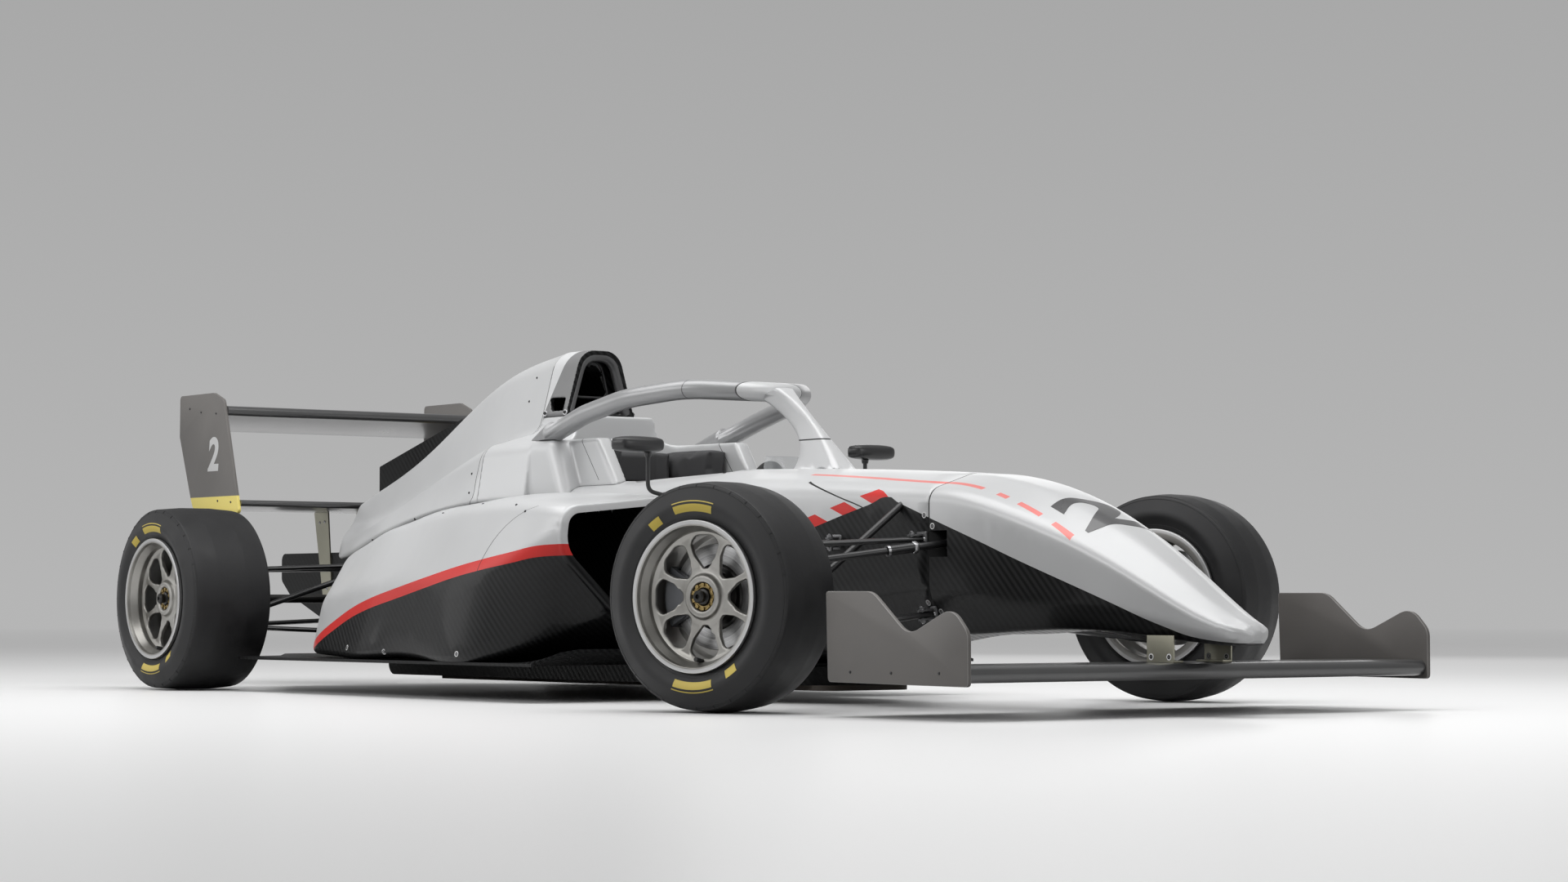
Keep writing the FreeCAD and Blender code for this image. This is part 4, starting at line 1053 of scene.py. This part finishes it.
# %% [markdown]
# ## Wings
#
# An endplate is a flat panel of grey laminate whose cut edge is rounded with a file, so the edge is worn
# paler than the face. A copy of the CAD piece gets a fine bevel, and the bevel's faces take the worn
# tone. The rear endplate's foot is dipped in yellow.

# %% Rear endplates
ENDPLATE_GREY, FOOT_YELLOW = (0.155, 0.146, 0.138), (0.93, 0.78, 0.21)
YELLOW_BAND_TOP = 0.604
PLATE_EDGE = dict(width=0.0012, degrees=50, material=1)
endplate_front, endplate_rear = [plain_finish(name, ENDPLATE_GREY, 0.46, grain=240.0, depth=0.12)
                                 for name in ("endplate_front", "endplate_rear")]
recolour(maths("LESS_THAN", axes()["Z"], YELLOW_BAND_TOP), FOOT_YELLOW)
worn_edge = plain_finish("worn_edge", (0.30, 0.29, 0.28), 0.5)
plates = paint(copy_of("rear_wing_endplates"), endplate_rear, worn_edge)
for polygon in plates.data.polygons:
    polygon.material_index = 0
ease(plates, **PLATE_EDGE)
finish(plates, "rear_wing_endplates_edged", "chassis", "endplate_grey",
       replaces=("rear_wing_endplates",), smooth=40)
print("rear endplates", len(plates.data.polygons), "faces")

# %% [markdown]
# The front endplate's top edge dips and rises in one flowing wave. Its corners are wide curves, so the
# plate is drawn again: straight runs between corner points, each corner rounded over its own length, then
# filled, extruded to the plate's thickness and bevelled.

# %% Front endplates
PLATE_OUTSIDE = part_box("front_wing_endplates")[1][1]
PLATE_THICKNESS = 0.010
WAVE = (                    # metres ahead of the front axle, height, length given to the corner's curve
    (0.404, 0.2880, 0.009), (0.575, 0.2873, 0.022), (0.706, 0.1877, 0.038), (0.858, 0.2515, 0.038),
    (0.914, 0.1950, 0.018), (0.914, 0.0760, 0.012), (0.411, 0.0790, 0.012),
)


def curved_corner(before, corner, after, length, steps):
    """Points along the curve that rounds a corner, starting and ending this length away from it."""
    back = (before - corner).normalized() * length
    onward = (after - corner).normalized() * length
    shares = [step / steps for step in range(steps + 1)]
    return [corner + back * (1 - share) ** 2 + onward * share ** 2 for share in shares]


wave = []
for place, (ahead, height, length) in enumerate(WAVE):
    before, after = WAVE[place - 1], WAVE[(place + 1) % len(WAVE)]
    wave += curved_corner(Vector(before[:2]), Vector((ahead, height)), Vector(after[:2]), length, 8)
plate = cut_plate([(FRONT_AXLE + ahead, height) for ahead, height in wave],
                  PLATE_OUTSIDE - PLATE_THICKNESS, PLATE_OUTSIDE)
ease(paint(plate, endplate_front, worn_edge), **PLATE_EDGE)
plates = merged([plate, across(plate)])
finish(plates, "front_endplates_waved", "chassis", "endplate_grey",
       replaces=("front_wing_endplates",), smooth=40)
print("front endplates", len(plates.data.polygons), "faces")

# %% [markdown]
# The numeral is a sticker: text is turned into a mesh, laid on the plate and given a sticker's thickness. The
# same numeral lies on the nose, where it follows the panel's curve.

# %% Race number
STICKER = 0.0004
REAR_NUMBER = (-1.985, 0.735)
CAP_HEIGHT, BOLDER = 0.72, 0.045        # a capital's share of the font size, and what its outline gains


def numeral(text, height, stretch=1.0, slant=0.12):
    """A flat numeral in the XY plane, centred, as a mesh."""
    bpy.ops.object.text_add()
    piece = bpy.context.object
    piece.data.body = text
    piece.data.align_x, piece.data.align_y = "CENTER", "CENTER"
    piece.data.size = height / CAP_HEIGHT
    piece.data.offset = height * BOLDER
    piece.data.shear = slant
    only(piece)
    bpy.ops.object.convert(target="MESH")
    piece = bpy.context.object
    piece.data.transform(Matrix.Diagonal((stretch, 1, 1, 1)))
    return weld(piece)


for word, side in SIDES.items():
    number = numeral("2", 0.105)
    point, normal = side_point("rear_wing_endplates", *REAR_NUMBER, side)
    upright = Matrix(((-side, 0, 0, 0), (0, 0, side, 0), (0, 1, 0, 0), (0, 0, 0, 1)))
    number.matrix_world = Matrix.Translation(point) @ upright
    modify(settle(number), "SOLIDIFY", thickness=STICKER, offset=0)
    finish(number, "number_rear_" + word, "chassis", "endplate_grey", white_paint)

# %% [markdown]
# On the nose the numeral has to follow the panel. The flat text is cut into strips both ways, so that it can
# bend, and every point is dropped onto the nose from above. Then it gets the sticker's thickness.

# %% Nose number
NOSE_NUMBER = Vector((1.768, -0.026, 0))
STRIP, STRIPS = 0.010, 12
NUMBER_LEAN = 0.27
number_dark = plain_finish("number_dark", (0.075, 0.075, 0.077), 0.30, coat=0.3)
nose_number = numeral("2", 0.150, 1.62, 0.0)
with editing(nose_number):
    for strip in range(-STRIPS, STRIPS + 1):
        for way in ((1, 0, 0), (0, 1, 0)):
            bpy.ops.mesh.select_all(action="SELECT")
            bpy.ops.mesh.bisect(plane_co=Vector(way) * strip * STRIP, plane_no=way)
for vertex in nose_number.data.vertices:
    x, y = NOSE_NUMBER.x - vertex.co.y + NUMBER_LEAN * vertex.co.x, NOSE_NUMBER.y + vertex.co.x
    point, normal = touch("nose_cone", (x, y, FAR_AWAY), (0, 0, -1))
    vertex.co = point + normal * STICKER
modify(nose_number, "SOLIDIFY", thickness=STICKER * 1.5, offset=0)
finish(nose_number, "number_nose", "chassis", "dark_grey", number_dark, smooth=20)
print("nose number", len(nose_number.data.polygons), "faces")

# %% [markdown]
# The front wing hangs from two folded plates beside the nose. The CAD piece reaches up the nose's side,
# so the copy is cut off where the nose's paint begins, and its edges are eased.

# %% Front wing brackets
BRACKET_TOP = 0.186
brackets = ease(cut_away(copy_of("front_wing_brackets"), (0, 0, BRACKET_TOP), (0, 0, 1)), 0.0007, degrees=50)
finish(brackets, "wing_brackets", "chassis", "bracket_plated", plated_steel,
       replaces=("front_wing_brackets",))
print("wing brackets", len(brackets.data.polygons), "faces")

# %% [markdown]
# ## Cockpit
#
# The collar round the driver's head is one moulding: the side walls, the shoulders under the halo's feet
# and the fairing behind the helmet flow into each other. The CAD piece has their planes and heights. Its
# copy is rebuilt from small even cells and then relaxed, which rounds every corner as a mould's radius
# does. Where it sits on the tub and meets the engine cover it mustn't move, so those cells are held.

# %% Relaxing a moulding
COLLAR_CELL, COLLAR_ROUNDS = 0.004, 14
TUB_HELD, TUB_FADE = 0.006, 0.02            # held this near to the tub, and free after the fade
COVER_JOINT, COVER_HELD, COVER_FADE = -0.545, 0.008, 0.03


def relaxed(piece, cell, rounds, free):
    """Remeshes a piece and smooths it where free(point) is above 0."""
    modify(piece, "REMESH", mode="VOXEL", voxel_size=cell)
    group = piece.vertex_groups.new(name="free")
    for vertex in piece.data.vertices:
        group.add([vertex.index], max(0.0, min(1.0, free(vertex.co))), "REPLACE")
    modify(piece, "SMOOTH", factor=0.5, iterations=rounds, vertex_group="free")
    piece.vertex_groups.clear()
    return piece


def collar_freedom(point):
    """0 on the tub and at the engine cover's joint, 1 a few centimetres away."""
    nearest = surface("monocoque").find_nearest(point)[3]
    return min((nearest - TUB_HELD) / TUB_FADE, (point.x - COVER_JOINT - COVER_HELD) / COVER_FADE)


collar = relaxed(copy_of("headrest_surround"), COLLAR_CELL, COLLAR_ROUNDS, collar_freedom)
collar_paint = livery("collar_paint", seams=(("x of z", ((-0.141, 0.725), (-0.048, 0.605))),))
finish(collar, "collar", "chassis", "paint_silver", collar_paint, replaces=("headrest_surround",), smooth=60)
print("collar", len(collar.data.polygons), "faces")

# %% [markdown]
# The helmet is held by three pads: one on each side and one behind. A pad is foam in a cloth cover, blown
# up a little by the foam, so its faces are crowned and its edges are round. Each starts from its share of
# the CAD cushion, a little smaller, and Blender's cloth swells it from inside. No point may leave the
# cushion's room.

# %% Headrest pads
PAD_CELL, PAD_SHRINK, PAD_CAP, PAD_MARGIN = 0.005, 0.004, 0.010, 0.0006
PAD_PRESSURE, PAD_FRAMES = 4.0, 20
PAD_CUTS = (                # planes, each with the direction that is cut away
    (((0, -0.122, 0), (0, -1, 0)), ((0, 0.122, 0), (0, 1, 0)), ((-0.25, 0, 0), (1, 0, 0))),
    (((0, 0.136, 0), (0, -1, 0)), ((-0.325, 0, 0), (-1, 0, 0))),
    (((0, -0.136, 0), (0, 1, 0)), ((-0.325, 0, 0), (-1, 0, 0))),
)


def blow_up(piece):
    """Swells a piece as cloth under pressure and caps how far each point travels."""
    before = [vertex.co.copy() for vertex in piece.data.vertices]
    only(piece)
    cloth = piece.modifiers.new("cloth", "CLOTH")
    cloth.settings.use_pressure = True
    cloth.settings.uniform_pressure_force = PAD_PRESSURE
    cloth.settings.effector_weights.gravity = 0.0
    for step in range(1, PAD_FRAMES + 1):
        bpy.context.scene.frame_set(step)
    bpy.ops.object.modifier_apply(modifier=cloth.name)
    bpy.context.scene.frame_set(1)
    for vertex, start in zip(piece.data.vertices, before):
        travel = vertex.co - start
        if travel.length > PAD_CAP:
            vertex.co = start + travel.normalized() * PAD_CAP


pads = []
for cuts in PAD_CUTS:
    pad = copy_of("headrest")
    for place, normal in cuts:
        cut_away(pad, place, normal)
    modify(pad, "REMESH", mode="VOXEL", voxel_size=PAD_CELL)
    modify(pad, "SMOOTH", factor=0.5, iterations=6)
    modify(pad, "DISPLACE", strength=-PAD_SHRINK, mid_level=0.0)
    blow_up(pad)
    for vertex in pad.data.vertices:
        point, normal, index, distance = surface("headrest").find_nearest(vertex.co)
        if (vertex.co - point).dot(normal) > -PAD_MARGIN:
            vertex.co = point - normal * PAD_MARGIN
    pads.append(modify(pad, "SMOOTH", factor=0.4, iterations=2))
headrest_pads = merged(pads)
modify(headrest_pads, "SUBSURF", levels=1, render_levels=1)
finish(headrest_pads, "headrest_pads", "chassis", "pad_foam", pad_cloth, replaces=("headrest",), smooth=60)
print("headrest pads", len(headrest_pads.data.polygons), "faces")

# %% [markdown]
# The windscreen is a low curved sheet of clear plastic in front of the wheel. A grid is wrapped round the CAD
# sheet's cone, a little narrower towards its top, and then it gets its thickness and rounded edges.

# %% Windscreen
CONE_X, CONE_Z, CONE_FOOT, CONE_SLOPE = 0.300, 0.6, 0.2085, 40.0 / 62.0
SCREEN_LOW, SCREEN_TOP = 0.602, 0.6595
SCREEN_HALF_ANGLE, SCREEN_NARROWING = math.radians(25), 0.16
bpy.ops.mesh.primitive_grid_add(x_subdivisions=32, y_subdivisions=8, size=2)
screen = bpy.context.object
for vertex in screen.data.vertices:
    share = (vertex.co.y + 1) / 2
    angle = vertex.co.x * SCREEN_HALF_ANGLE * (1 - SCREEN_NARROWING * share ** 2)
    height = SCREEN_LOW + (SCREEN_TOP - SCREEN_LOW) * share
    radius = CONE_FOOT - (height - CONE_Z) * CONE_SLOPE
    vertex.co = (CONE_X + radius * math.cos(angle), radius * math.sin(angle), height)
ease(weld(modify(screen, "SOLIDIFY", thickness=0.003, offset=0), 1e-6), 0.0008, degrees=60)
finish(screen, "screen", "chassis", "clear_screen", glass_clear, replaces=("windscreen",), smooth=40)
print("screen", len(screen.data.polygons), "faces")

# %% [markdown]
# A mirror is a moulded pod on a thin stalk. The pod starts as a box with its outer front corner cut back,
# and a wide bevel rounds it. A block is cut out of its back, which leaves the frame that holds the glass.
# The stalk is a bent rod with a cup under the pod and a ball joint on the tub.

# %% Pipes
def pipe(points, radius, corner=0.02, sides=4):
    """A round rod along a bent line, closed at its ends. corner: how far from a bend its curve starts."""
    points = [Vector(point) for point in points]
    path = points[:1]
    for before, bend, after in zip(points, points[1:], points[2:]):
        cut = min(corner, (before - bend).length * 0.45, (after - bend).length * 0.45)
        path += curved_corner(before, bend, after, cut, 6)
    path += points[-1:]
    bpy.ops.curve.primitive_nurbs_path_add()
    piece = bpy.context.object
    curve = piece.data
    curve.splines.clear()
    spline = curve.splines.new("POLY")
    spline.points.add(len(path) - 1)
    for point, place in zip(spline.points, path):
        point.co = (*place, 1)
    curve.bevel_depth = radius
    curve.bevel_resolution = sides
    curve.use_fill_caps = True
    only(piece)
    bpy.ops.object.convert(target="MESH")
    return weld(bpy.context.object, 1e-6)


# %% Mirrors
MIRROR = Vector((0.347, 0.400, 0.686))
POD_HALF = Vector((0.028, 0.085, 0.0245))
POD_FRAME, GLASS_EDGE = Vector((0, 0.013, 0.0095)), Vector((0, 0.0137, 0.0102))
STALK_Y, STALK_BEND = MIRROR.y - 0.030, 0.562
STALK_FOOT = Vector((MIRROR.x, 0.2895, 0.5455))
STALK_RADIUS, CUP_RADIUS, SLEEVE_RADIUS, BALL_RADIUS = 0.0058, 0.0105, 0.0082, 0.0105
OUTER_CUT, INNER_CUT, FRONT_HEIGHT = 0.022, 0.012, 0.9      # how the pod narrows towards its front
mirror_black = plain_finish("mirror_black", (0.020, 0.020, 0.021), 0.40, coat=0.25, coat_roughness=0.2)


def back_block(near, far, edge, bevel, segments=2):
    """A block at the pod's back: near and far along X from its rear face, inside its outline by the edge."""
    rear = Vector((MIRROR.x - POD_HALF.x, MIRROR.y, MIRROR.z))
    half = Vector((0, POD_HALF.y, POD_HALF.z)) - edge
    return block(rear - half + Vector((near, 0, 0)), rear + half + Vector((far, 0, 0)), bevel, segments)


def make_pod():
    """The left mirror's pod, hollowed for its glass."""
    pod = block(MIRROR - POD_HALF, MIRROR + POD_HALF)
    for vertex in pod.data.vertices:
        if vertex.co.x > MIRROR.x:
            vertex.co.y -= OUTER_CUT if vertex.co.y > MIRROR.y else -INNER_CUT
            vertex.co.z = MIRROR.z + (vertex.co.z - MIRROR.z) * FRONT_HEIGHT
    modify(pod, "BEVEL", width=0.0125, segments=1)
    modify(pod, "SUBSURF", levels=3, render_levels=3)
    return carve(pod, back_block(-0.010, 0.005, POD_FRAME, 0.0035, 3))


def make_stalk():
    """Stalk, cup, sleeve and ball joint."""
    base, turn = MIRROR.z - POD_HALF.z, Vector((MIRROR.x, STALK_Y, STALK_BEND))
    lean = (STALK_FOOT - turn).normalized()
    pieces = [pipe([(MIRROR.x, STALK_Y, base + 0.003), turn, STALK_FOOT], STALK_RADIUS, 0.022),
              cylinder(CUP_RADIUS, (MIRROR.x, STALK_Y, base + 0.002), (MIRROR.x, STALK_Y, base - 0.008),
                       taper=0.8),
              cylinder(SLEEVE_RADIUS, STALK_FOOT - lean * 0.030, STALK_FOOT - lean * 0.010, 12)]
    bpy.ops.mesh.primitive_uv_sphere_add(segments=24, ring_count=12, radius=BALL_RADIUS, location=STALK_FOOT)
    return pieces + [settle(bpy.context.object)]


pod = merged([make_pod()] + make_stalk())
glass = back_block(0.0025, 0.0055, GLASS_EDGE, 0.0008)
for piece, name, material, stands_for, smooth in ((pod, "mirror_pod", mirror_black, ("mirrors",), 45),
                                                  (glass, "mirror_face", mirror_glass, (), 35)):
    other = across(piece)
    finish(piece, name + "_left", "chassis", "carbon", material, replaces=stands_for, smooth=smooth)
    finish(other, name + "_right", "chassis", "carbon", material, replaces=stands_for)
print("mirror pod", len(pod.data.polygons), "faces")

# %% [markdown]
# The roll hoop's band is a thick laminate behind a round steel bar, which frames the engine's air duct.
# The copy of the CAD piece gets rounded edges, and a larger window is cut through each side of the band.
# The bar is a bent pipe along the mouth. The silver of the cover runs on over the band's rear edge on a
# slant.

# %% Roll hoop
HOOP_CELL, HOOP_ROUNDS = 0.003, 9
WINDOW_MIDDLE, WINDOW_SLANT = 0.843, -0.45
SILVER_X, SILVER_Z, SILVER_SLANT = -0.543, 0.81, 0.30       # a point of the silver's edge, and its slant
HOOP_REAR, HOOP_FOOT, REAR_FADE, FOOT_FADE = -0.531, 0.811, 0.02, 0.01
hoop_band = plain_finish("hoop_band", (0.21, 0.21, 0.212), 0.5)
place = axes()
rise = maths("MULTIPLY", maths("SUBTRACT", place["Z"], SILVER_Z), SILVER_SLANT)
recolour(maths("LESS_THAN", maths("SUBTRACT", place["X"], rise), SILVER_X), SILVER)


def hoop_freedom(point):
    """0 at the band's rear edge and at its foot, 1 a little away."""
    return min((point.x - HOOP_REAR) / REAR_FADE, (point.z - HOOP_FOOT) / FOOT_FADE)


window = block((-0.520, -0.2, 0.824), (-0.462, 0.2, 0.862), 0.006)
for vertex in window.data.vertices:
    vertex.co.x += (vertex.co.z - WINDOW_MIDDLE) * WINDOW_SLANT
hoop = relaxed(carve(copy_of("roll_hoop"), window), HOOP_CELL, HOOP_ROUNDS, hoop_freedom)
paint(hoop, hoop_band, carbon)
for face in hoop.data.polygons:
    hit = surface("roll_hoop").ray_cast(face.center + face.normal * 0.003, face.normal, 0.3)
    face.material_index = 1 if hit[0] is not None or face.normal.x > 0.8 else 0
finish(hoop, "hoop", "chassis", "dark_grey", replaces=("roll_hoop",), smooth=50)
print("hoop", len(hoop.data.polygons), "faces")

# %% Roll bar and duct
BAR_X, DUCT_X = -0.4565, -0.4900
BAR_LINE = ((-0.1045, 0.812), (-0.0520, 0.987), (0.0520, 0.987), (0.1045, 0.812))
DUCT_LINE = ((0.0, 0.868), (-0.062, 0.868), (-0.034, 0.972), (0.034, 0.972), (0.062, 0.868), (0.0, 0.868))
bar_grey = plain_finish("bar_grey", (0.075, 0.075, 0.077), 0.34, coat=0.3)
bar = pipe([(BAR_X, y, z) for y, z in BAR_LINE], 0.0160, 0.052, 6)
finish(bar, "roll_bar", "chassis", "dark_grey", bar_grey)
duct_rim = pipe([(DUCT_X, y, z) for y, z in DUCT_LINE], 0.0032, 0.026)
finish(duct_rim, "duct_rim", "chassis", "dark_grey", hoop_grey)

# %% [markdown]
# ## Screws, clevises and nuts
#
# Small hardware repeats, so each kind is modelled once, pointing up the Z axis at the origin, and copied to
# its places. A button screw is a dome with a hexagon socket. The panels' quarter turn fasteners are a dark
# stud with a small bright pin in a pale ring.

# %% Fastener patterns
def stand(pattern, point, normal, upright=(0, 0, 1)):
    """A copy of a pattern, its Z axis along a normal and its X axis as level as it can be."""
    axis = Vector(normal).normalized()
    level = Vector(upright).cross(axis)
    if level.length < 0.05:
        level = Vector((1, 0, 0))
    level.normalize()
    copy = twin(pattern)
    turn = Matrix((level, axis.cross(level), axis)).transposed().to_4x4()
    copy.data.transform(Matrix.Translation(Vector(point)) @ turn)
    return copy


def stacked(*rods):
    """A pattern of upright rods: (radius, low, high, sides, finish) each, and a taper if it has one."""
    return merged([paint(cylinder(radius, (0, 0, low), (0, 0, high), sides, *taper), material)
                   for radius, low, high, sides, material, *taper in rods])


def button_screw(radius, head):
    dome = cylinder(radius, (0, 0, -0.001), (0, 0, radius * 0.55), 20, taper=0.62)
    paint(ease(dome, radius * 0.12), head)
    return merged([dome, stacked((radius * 0.38, radius * 0.30, radius * 0.58, 6, socket_black))])


socket_black = plain_finish("socket_black", (0.008, 0.008, 0.008), 0.5)
small_screw, bright_screw = button_screw(0.0042, black_steel), button_screw(0.0056, machined_steel)
ring_screw = stacked((0.0080, -0.001, 0.0007, 24, white_paint), (0.00496, 0, 0.0011, 20, socket_black),
                     (0.00176, 0.0008, 0.0016, 12, machined_steel))
hoop_screw = stacked((0.0090, -0.001, 0.0016, 24, machined_steel, 0.9),
                     (0.00495, 0.001, 0.0042, 6, socket_black))

# %% Fasteners on the panels
FASTENERS = (
    # pattern, CAD node, (x, z) spots on each side
    (ring_screw, "monocoque", ((1.316, 0.479), (1.314, 0.262))),
    (ring_screw, "nose_cone", ((1.347, 0.451), (1.350, 0.240))),
    (small_screw, "engine_cover", ((-0.604, 0.638), (-0.598, 0.582), (-0.932, 0.513), (-1.266, 0.456),
                                   (-0.660, 0.860), (-0.640, 0.930))),
    (small_screw, "sidepods", ((0.216, 0.505), (0.150, 0.524), (-0.300, 0.540), (-0.560, 0.520))),
    (ring_screw, "sidepods", ((-0.424, 0.126), (0.011, 0.125), (-0.666, 0.135))),
    (hoop_screw, "roll_hoop", ((-0.536, 0.818), (-0.446, 0.818))),
    (bright_screw, "rear_wing_pylons", ((-1.915, 0.270), (-1.925, 0.310), (-1.942, 0.528), (-1.975, 0.526))),
    (small_screw, "front_wing_endplates", ((1.70, 0.103), (1.85, 0.103), (2.02, 0.105))),
    (small_screw, "rear_wing_endplates", ((-1.965, 0.872), (-2.07, 0.880), (-2.15, 0.895), (-1.86, 0.584),
                                          (-1.95, 0.590))),
)
BRACKET_SCREWS, BRACKET_Y, BRACKET_HALF, BRACKET_SCREW_Z = (2.014, 2.074), 0.092, 0.002, 0.136
placed = [stand(pattern, *side_point(node, x, z, side))
          for pattern, node, spots in FASTENERS for x, z in spots for side in (1, -1)]
placed += [stand(ring_screw, (x, side * BRACKET_Y + face * BRACKET_HALF, BRACKET_SCREW_Z), (0, face, 0))
           for side in (1, -1) for x in BRACKET_SCREWS for face in (1, -1)]
fasteners = merged(placed)
finish(fasteners, "fasteners", "chassis", "machined_steel", smooth=30)
print("fasteners", len(placed), "with", len(fasteners.data.polygons), "faces")

# %% [markdown]
# Each wishbone leg ends in a ball joint that sits in a fork, called a clevis, on the tub or the gearbox
# case. The fork is a machined block: a base plate with two screws, two round ended ears and one bolt
# through both. It is built along the Z axis, the ears above and below the leg in Y.

# %% Clevis
EAR_REACH, EAR_HALF, EAR_GAP, EAR_THICK = 0.030, 0.012, 0.0085, 0.0045
EAR_FAR = EAR_GAP + EAR_THICK
clevis_grey = plain_finish("clevis_grey", (0.16, 0.16, 0.165), 0.38, metallic=0.6)


def bolt(radius, low, high, sides, material):
    """A rod through the ears."""
    return paint(cylinder(radius, (0, low, EAR_REACH), (0, high, EAR_REACH), sides), material)


def make_clevis():
    made = [paint(block((-0.024, -0.019, -0.004), (0.024, 0.019, 0.005), 0.003, 3), clevis_grey)]
    for way in (1, -1):
        low, high = sorted((way * EAR_GAP, way * EAR_FAR))
        made += [paint(block((-EAR_HALF, low, 0), (EAR_HALF, high, EAR_REACH), 0.0008), clevis_grey),
                 bolt(EAR_HALF, low, high, 28, clevis_grey),
                 bolt(0.0085, way * EAR_FAR, way * (EAR_FAR + 0.001), 24, machined_steel),
                 bolt(0.0068, way * EAR_FAR, way * (EAR_FAR + 0.0062), 6, machined_steel),
                 stand(bright_screw, (way * 0.018, 0, 0.005), (0, 0, 1), (0, 1, 0))]
    return merged(made + [bolt(0.0040, -0.022, 0.022, 16, machined_steel)])


# %% Clevises at the legs
AXLE_Z, KINGPIN_Y, REAR_REACH = TYRE_RADIUS, 0.7075, 0.678
LEGS = (
    # CAD node, axle x, outer end: y, height from the axle. Inner end: x from the axle, y, z
    ("monocoque", FRONT_AXLE, KINGPIN_Y, 0.118, ((0.110, 0.190, 0.420), (-0.230, 0.200, 0.418))),
    ("monocoque", FRONT_AXLE, KINGPIN_Y, -0.118, ((0.110, 0.190, 0.234), (-0.250, 0.200, 0.226))),
    ("gearbox", REAR_AXLE, REAR_REACH, 0.086, ((0.210, 0.100, 0.385), (-0.120, 0.060, 0.372))),
    ("gearbox", REAR_AXLE, REAR_REACH, -0.084, ((0.260, 0.100, 0.165), (-0.225, 0.050, 0.212))),
)
clevis = make_clevis()
forks = []
for node, axle_x, reach, rise, inner_ends in LEGS:
    for ahead, y, z in inner_ends:
        outer = Vector((axle_x, reach, AXLE_Z + rise))
        leg = Vector((axle_x + ahead, y, z)) - outer
        point, normal = touch(node, outer, leg)
        forks.append(stand(clevis, point - leg.normalized() * 0.001, -leg.normalized()))
forks += [across(fork) for fork in forks]
clevises = finish(merged(forks), "clevises", "chassis", "machined_steel", smooth=30)
print("clevises", len(forks), "with", len(clevises.data.polygons), "faces")
removed(small_screw, bright_screw, ring_screw, hoop_screw, clevis)

# %% [markdown]
# A track rod is adjustable: a threaded end turns in a sleeve, and a lock nut holds it. They ride with the
# rack. Where the rod enters the nose, a hexagon gland closes the recess round it and stays with the nose.

# %% Track rod hardware
STEER_ARM, STEER_ARM_Z = 0.070, AXLE_Z + 0.068
RACK = Vector((1.368, 0.196, 0.409))
NUT_SHARE, NUT_LENGTH, SLEEVE_END, BAND_LENGTH = 0.16, 0.012, 0.085, 0.007
GLAND = Vector((1.372, 0, 0.4085))
rod_pieces, glands = [], []
for side in (1, -1):
    rest = math.radians(STEER_REST)
    shift = STEER_ARM * math.sin(rest)
    eye = Vector((FRONT_AXLE + STEER_ARM * math.cos(rest), side * KINGPIN_Y + shift, STEER_ARM_Z))
    inner = Vector((RACK.x, side * RACK.y + shift, RACK.z))
    start, along = inner.lerp(eye, NUT_SHARE), (eye - inner).normalized()
    nut = ease(cylinder(0.0155, start, start + along * NUT_LENGTH, 6), 0.0012)
    sleeve = cylinder(0.0125, start + along * NUT_LENGTH, start + along * SLEEVE_END, 28)
    band = cylinder(0.0135, start + along * (SLEEVE_END - BAND_LENGTH), start + along * SLEEVE_END, 28)
    rod_pieces += [paint(nut, machined_steel), paint(sleeve, black_steel), paint(band, machined_steel)]
    inside, outside = Vector((0, side * 0.1450, 0)), Vector((0, side * 0.1620, 0))
    gland = ease(cylinder(0.027, GLAND + inside, GLAND + outside, 6), 0.0022, 3)
    bore = cylinder(0.0150, GLAND + Vector((0, side * 0.120, 0)), GLAND + Vector((0, side * 0.180, 0)), 32)
    glands.append(carve(gland, bore))
finish(merged(rod_pieces), "rod_nuts", "steering_rack", "machined_steel", smooth=30)
finish(merged(glands), "rack_glands", "chassis", "machined_steel", clevis_grey, smooth=30)
print("track rods: a nut, a sleeve and a gland on each side")

# %% [markdown]
# ## The rest of the CAD pieces
#
# The CAD pieces whose shape is right stay as they are, and get their finish here.

# %% Finishes of the CAD pieces
CAD_FINISHES = {
    "monocoque": tub_livery, "nose_cone": nose_livery, "headrest_surround": silver_paint,
    "engine_cover": cover_livery, "halo": silver_paint, "sidepods": pod_livery, "shark_fin": carbon,
    "roll_hoop": hoop_grey, "floor": carbon, "skid_plank": plank_board, "engine": cast_alloy,
    "gearbox": cast_alloy, "crash_structure": carbon, "rain_light": lamp_red, "windscreen": glass_clear,
    "mirrors": carbon, "seat": carbon, "headrest": pad_cloth, "dash_panel": carbon,
    "steering_wheel": grip_black, "front_wing": wing_gloss, "rear_wing_planes": wing_gloss,
    "front_wing_endplates": hoop_grey, "rear_wing_endplates": hoop_grey,
    "front_wing_brackets": plated_steel, "rear_wing_pylons": plated_steel, "radiators": radiator_alloy,
    "uprights_rear": caliper_grey, "upright_front_left": caliper_grey, "upright_front_right": caliper_grey,
    "wishbones": black_steel, "pushrods": black_steel, "track_rods": black_steel,
}
for axle in WHEELS:
    for side in SIDES:
        for kind, wheel_finish in (("tyre", tyre_rubber), ("rim", rim_alloy), ("hub", spindle_black)):
            CAD_FINISHES["%s_%s_%s" % (kind, axle, side)] = wheel_finish
for node_name, finish_made in CAD_FINISHES.items():
    paint(frame["nodes"][node_name], finish_made)
print("finished", len(CAD_FINISHES), "CAD pieces")
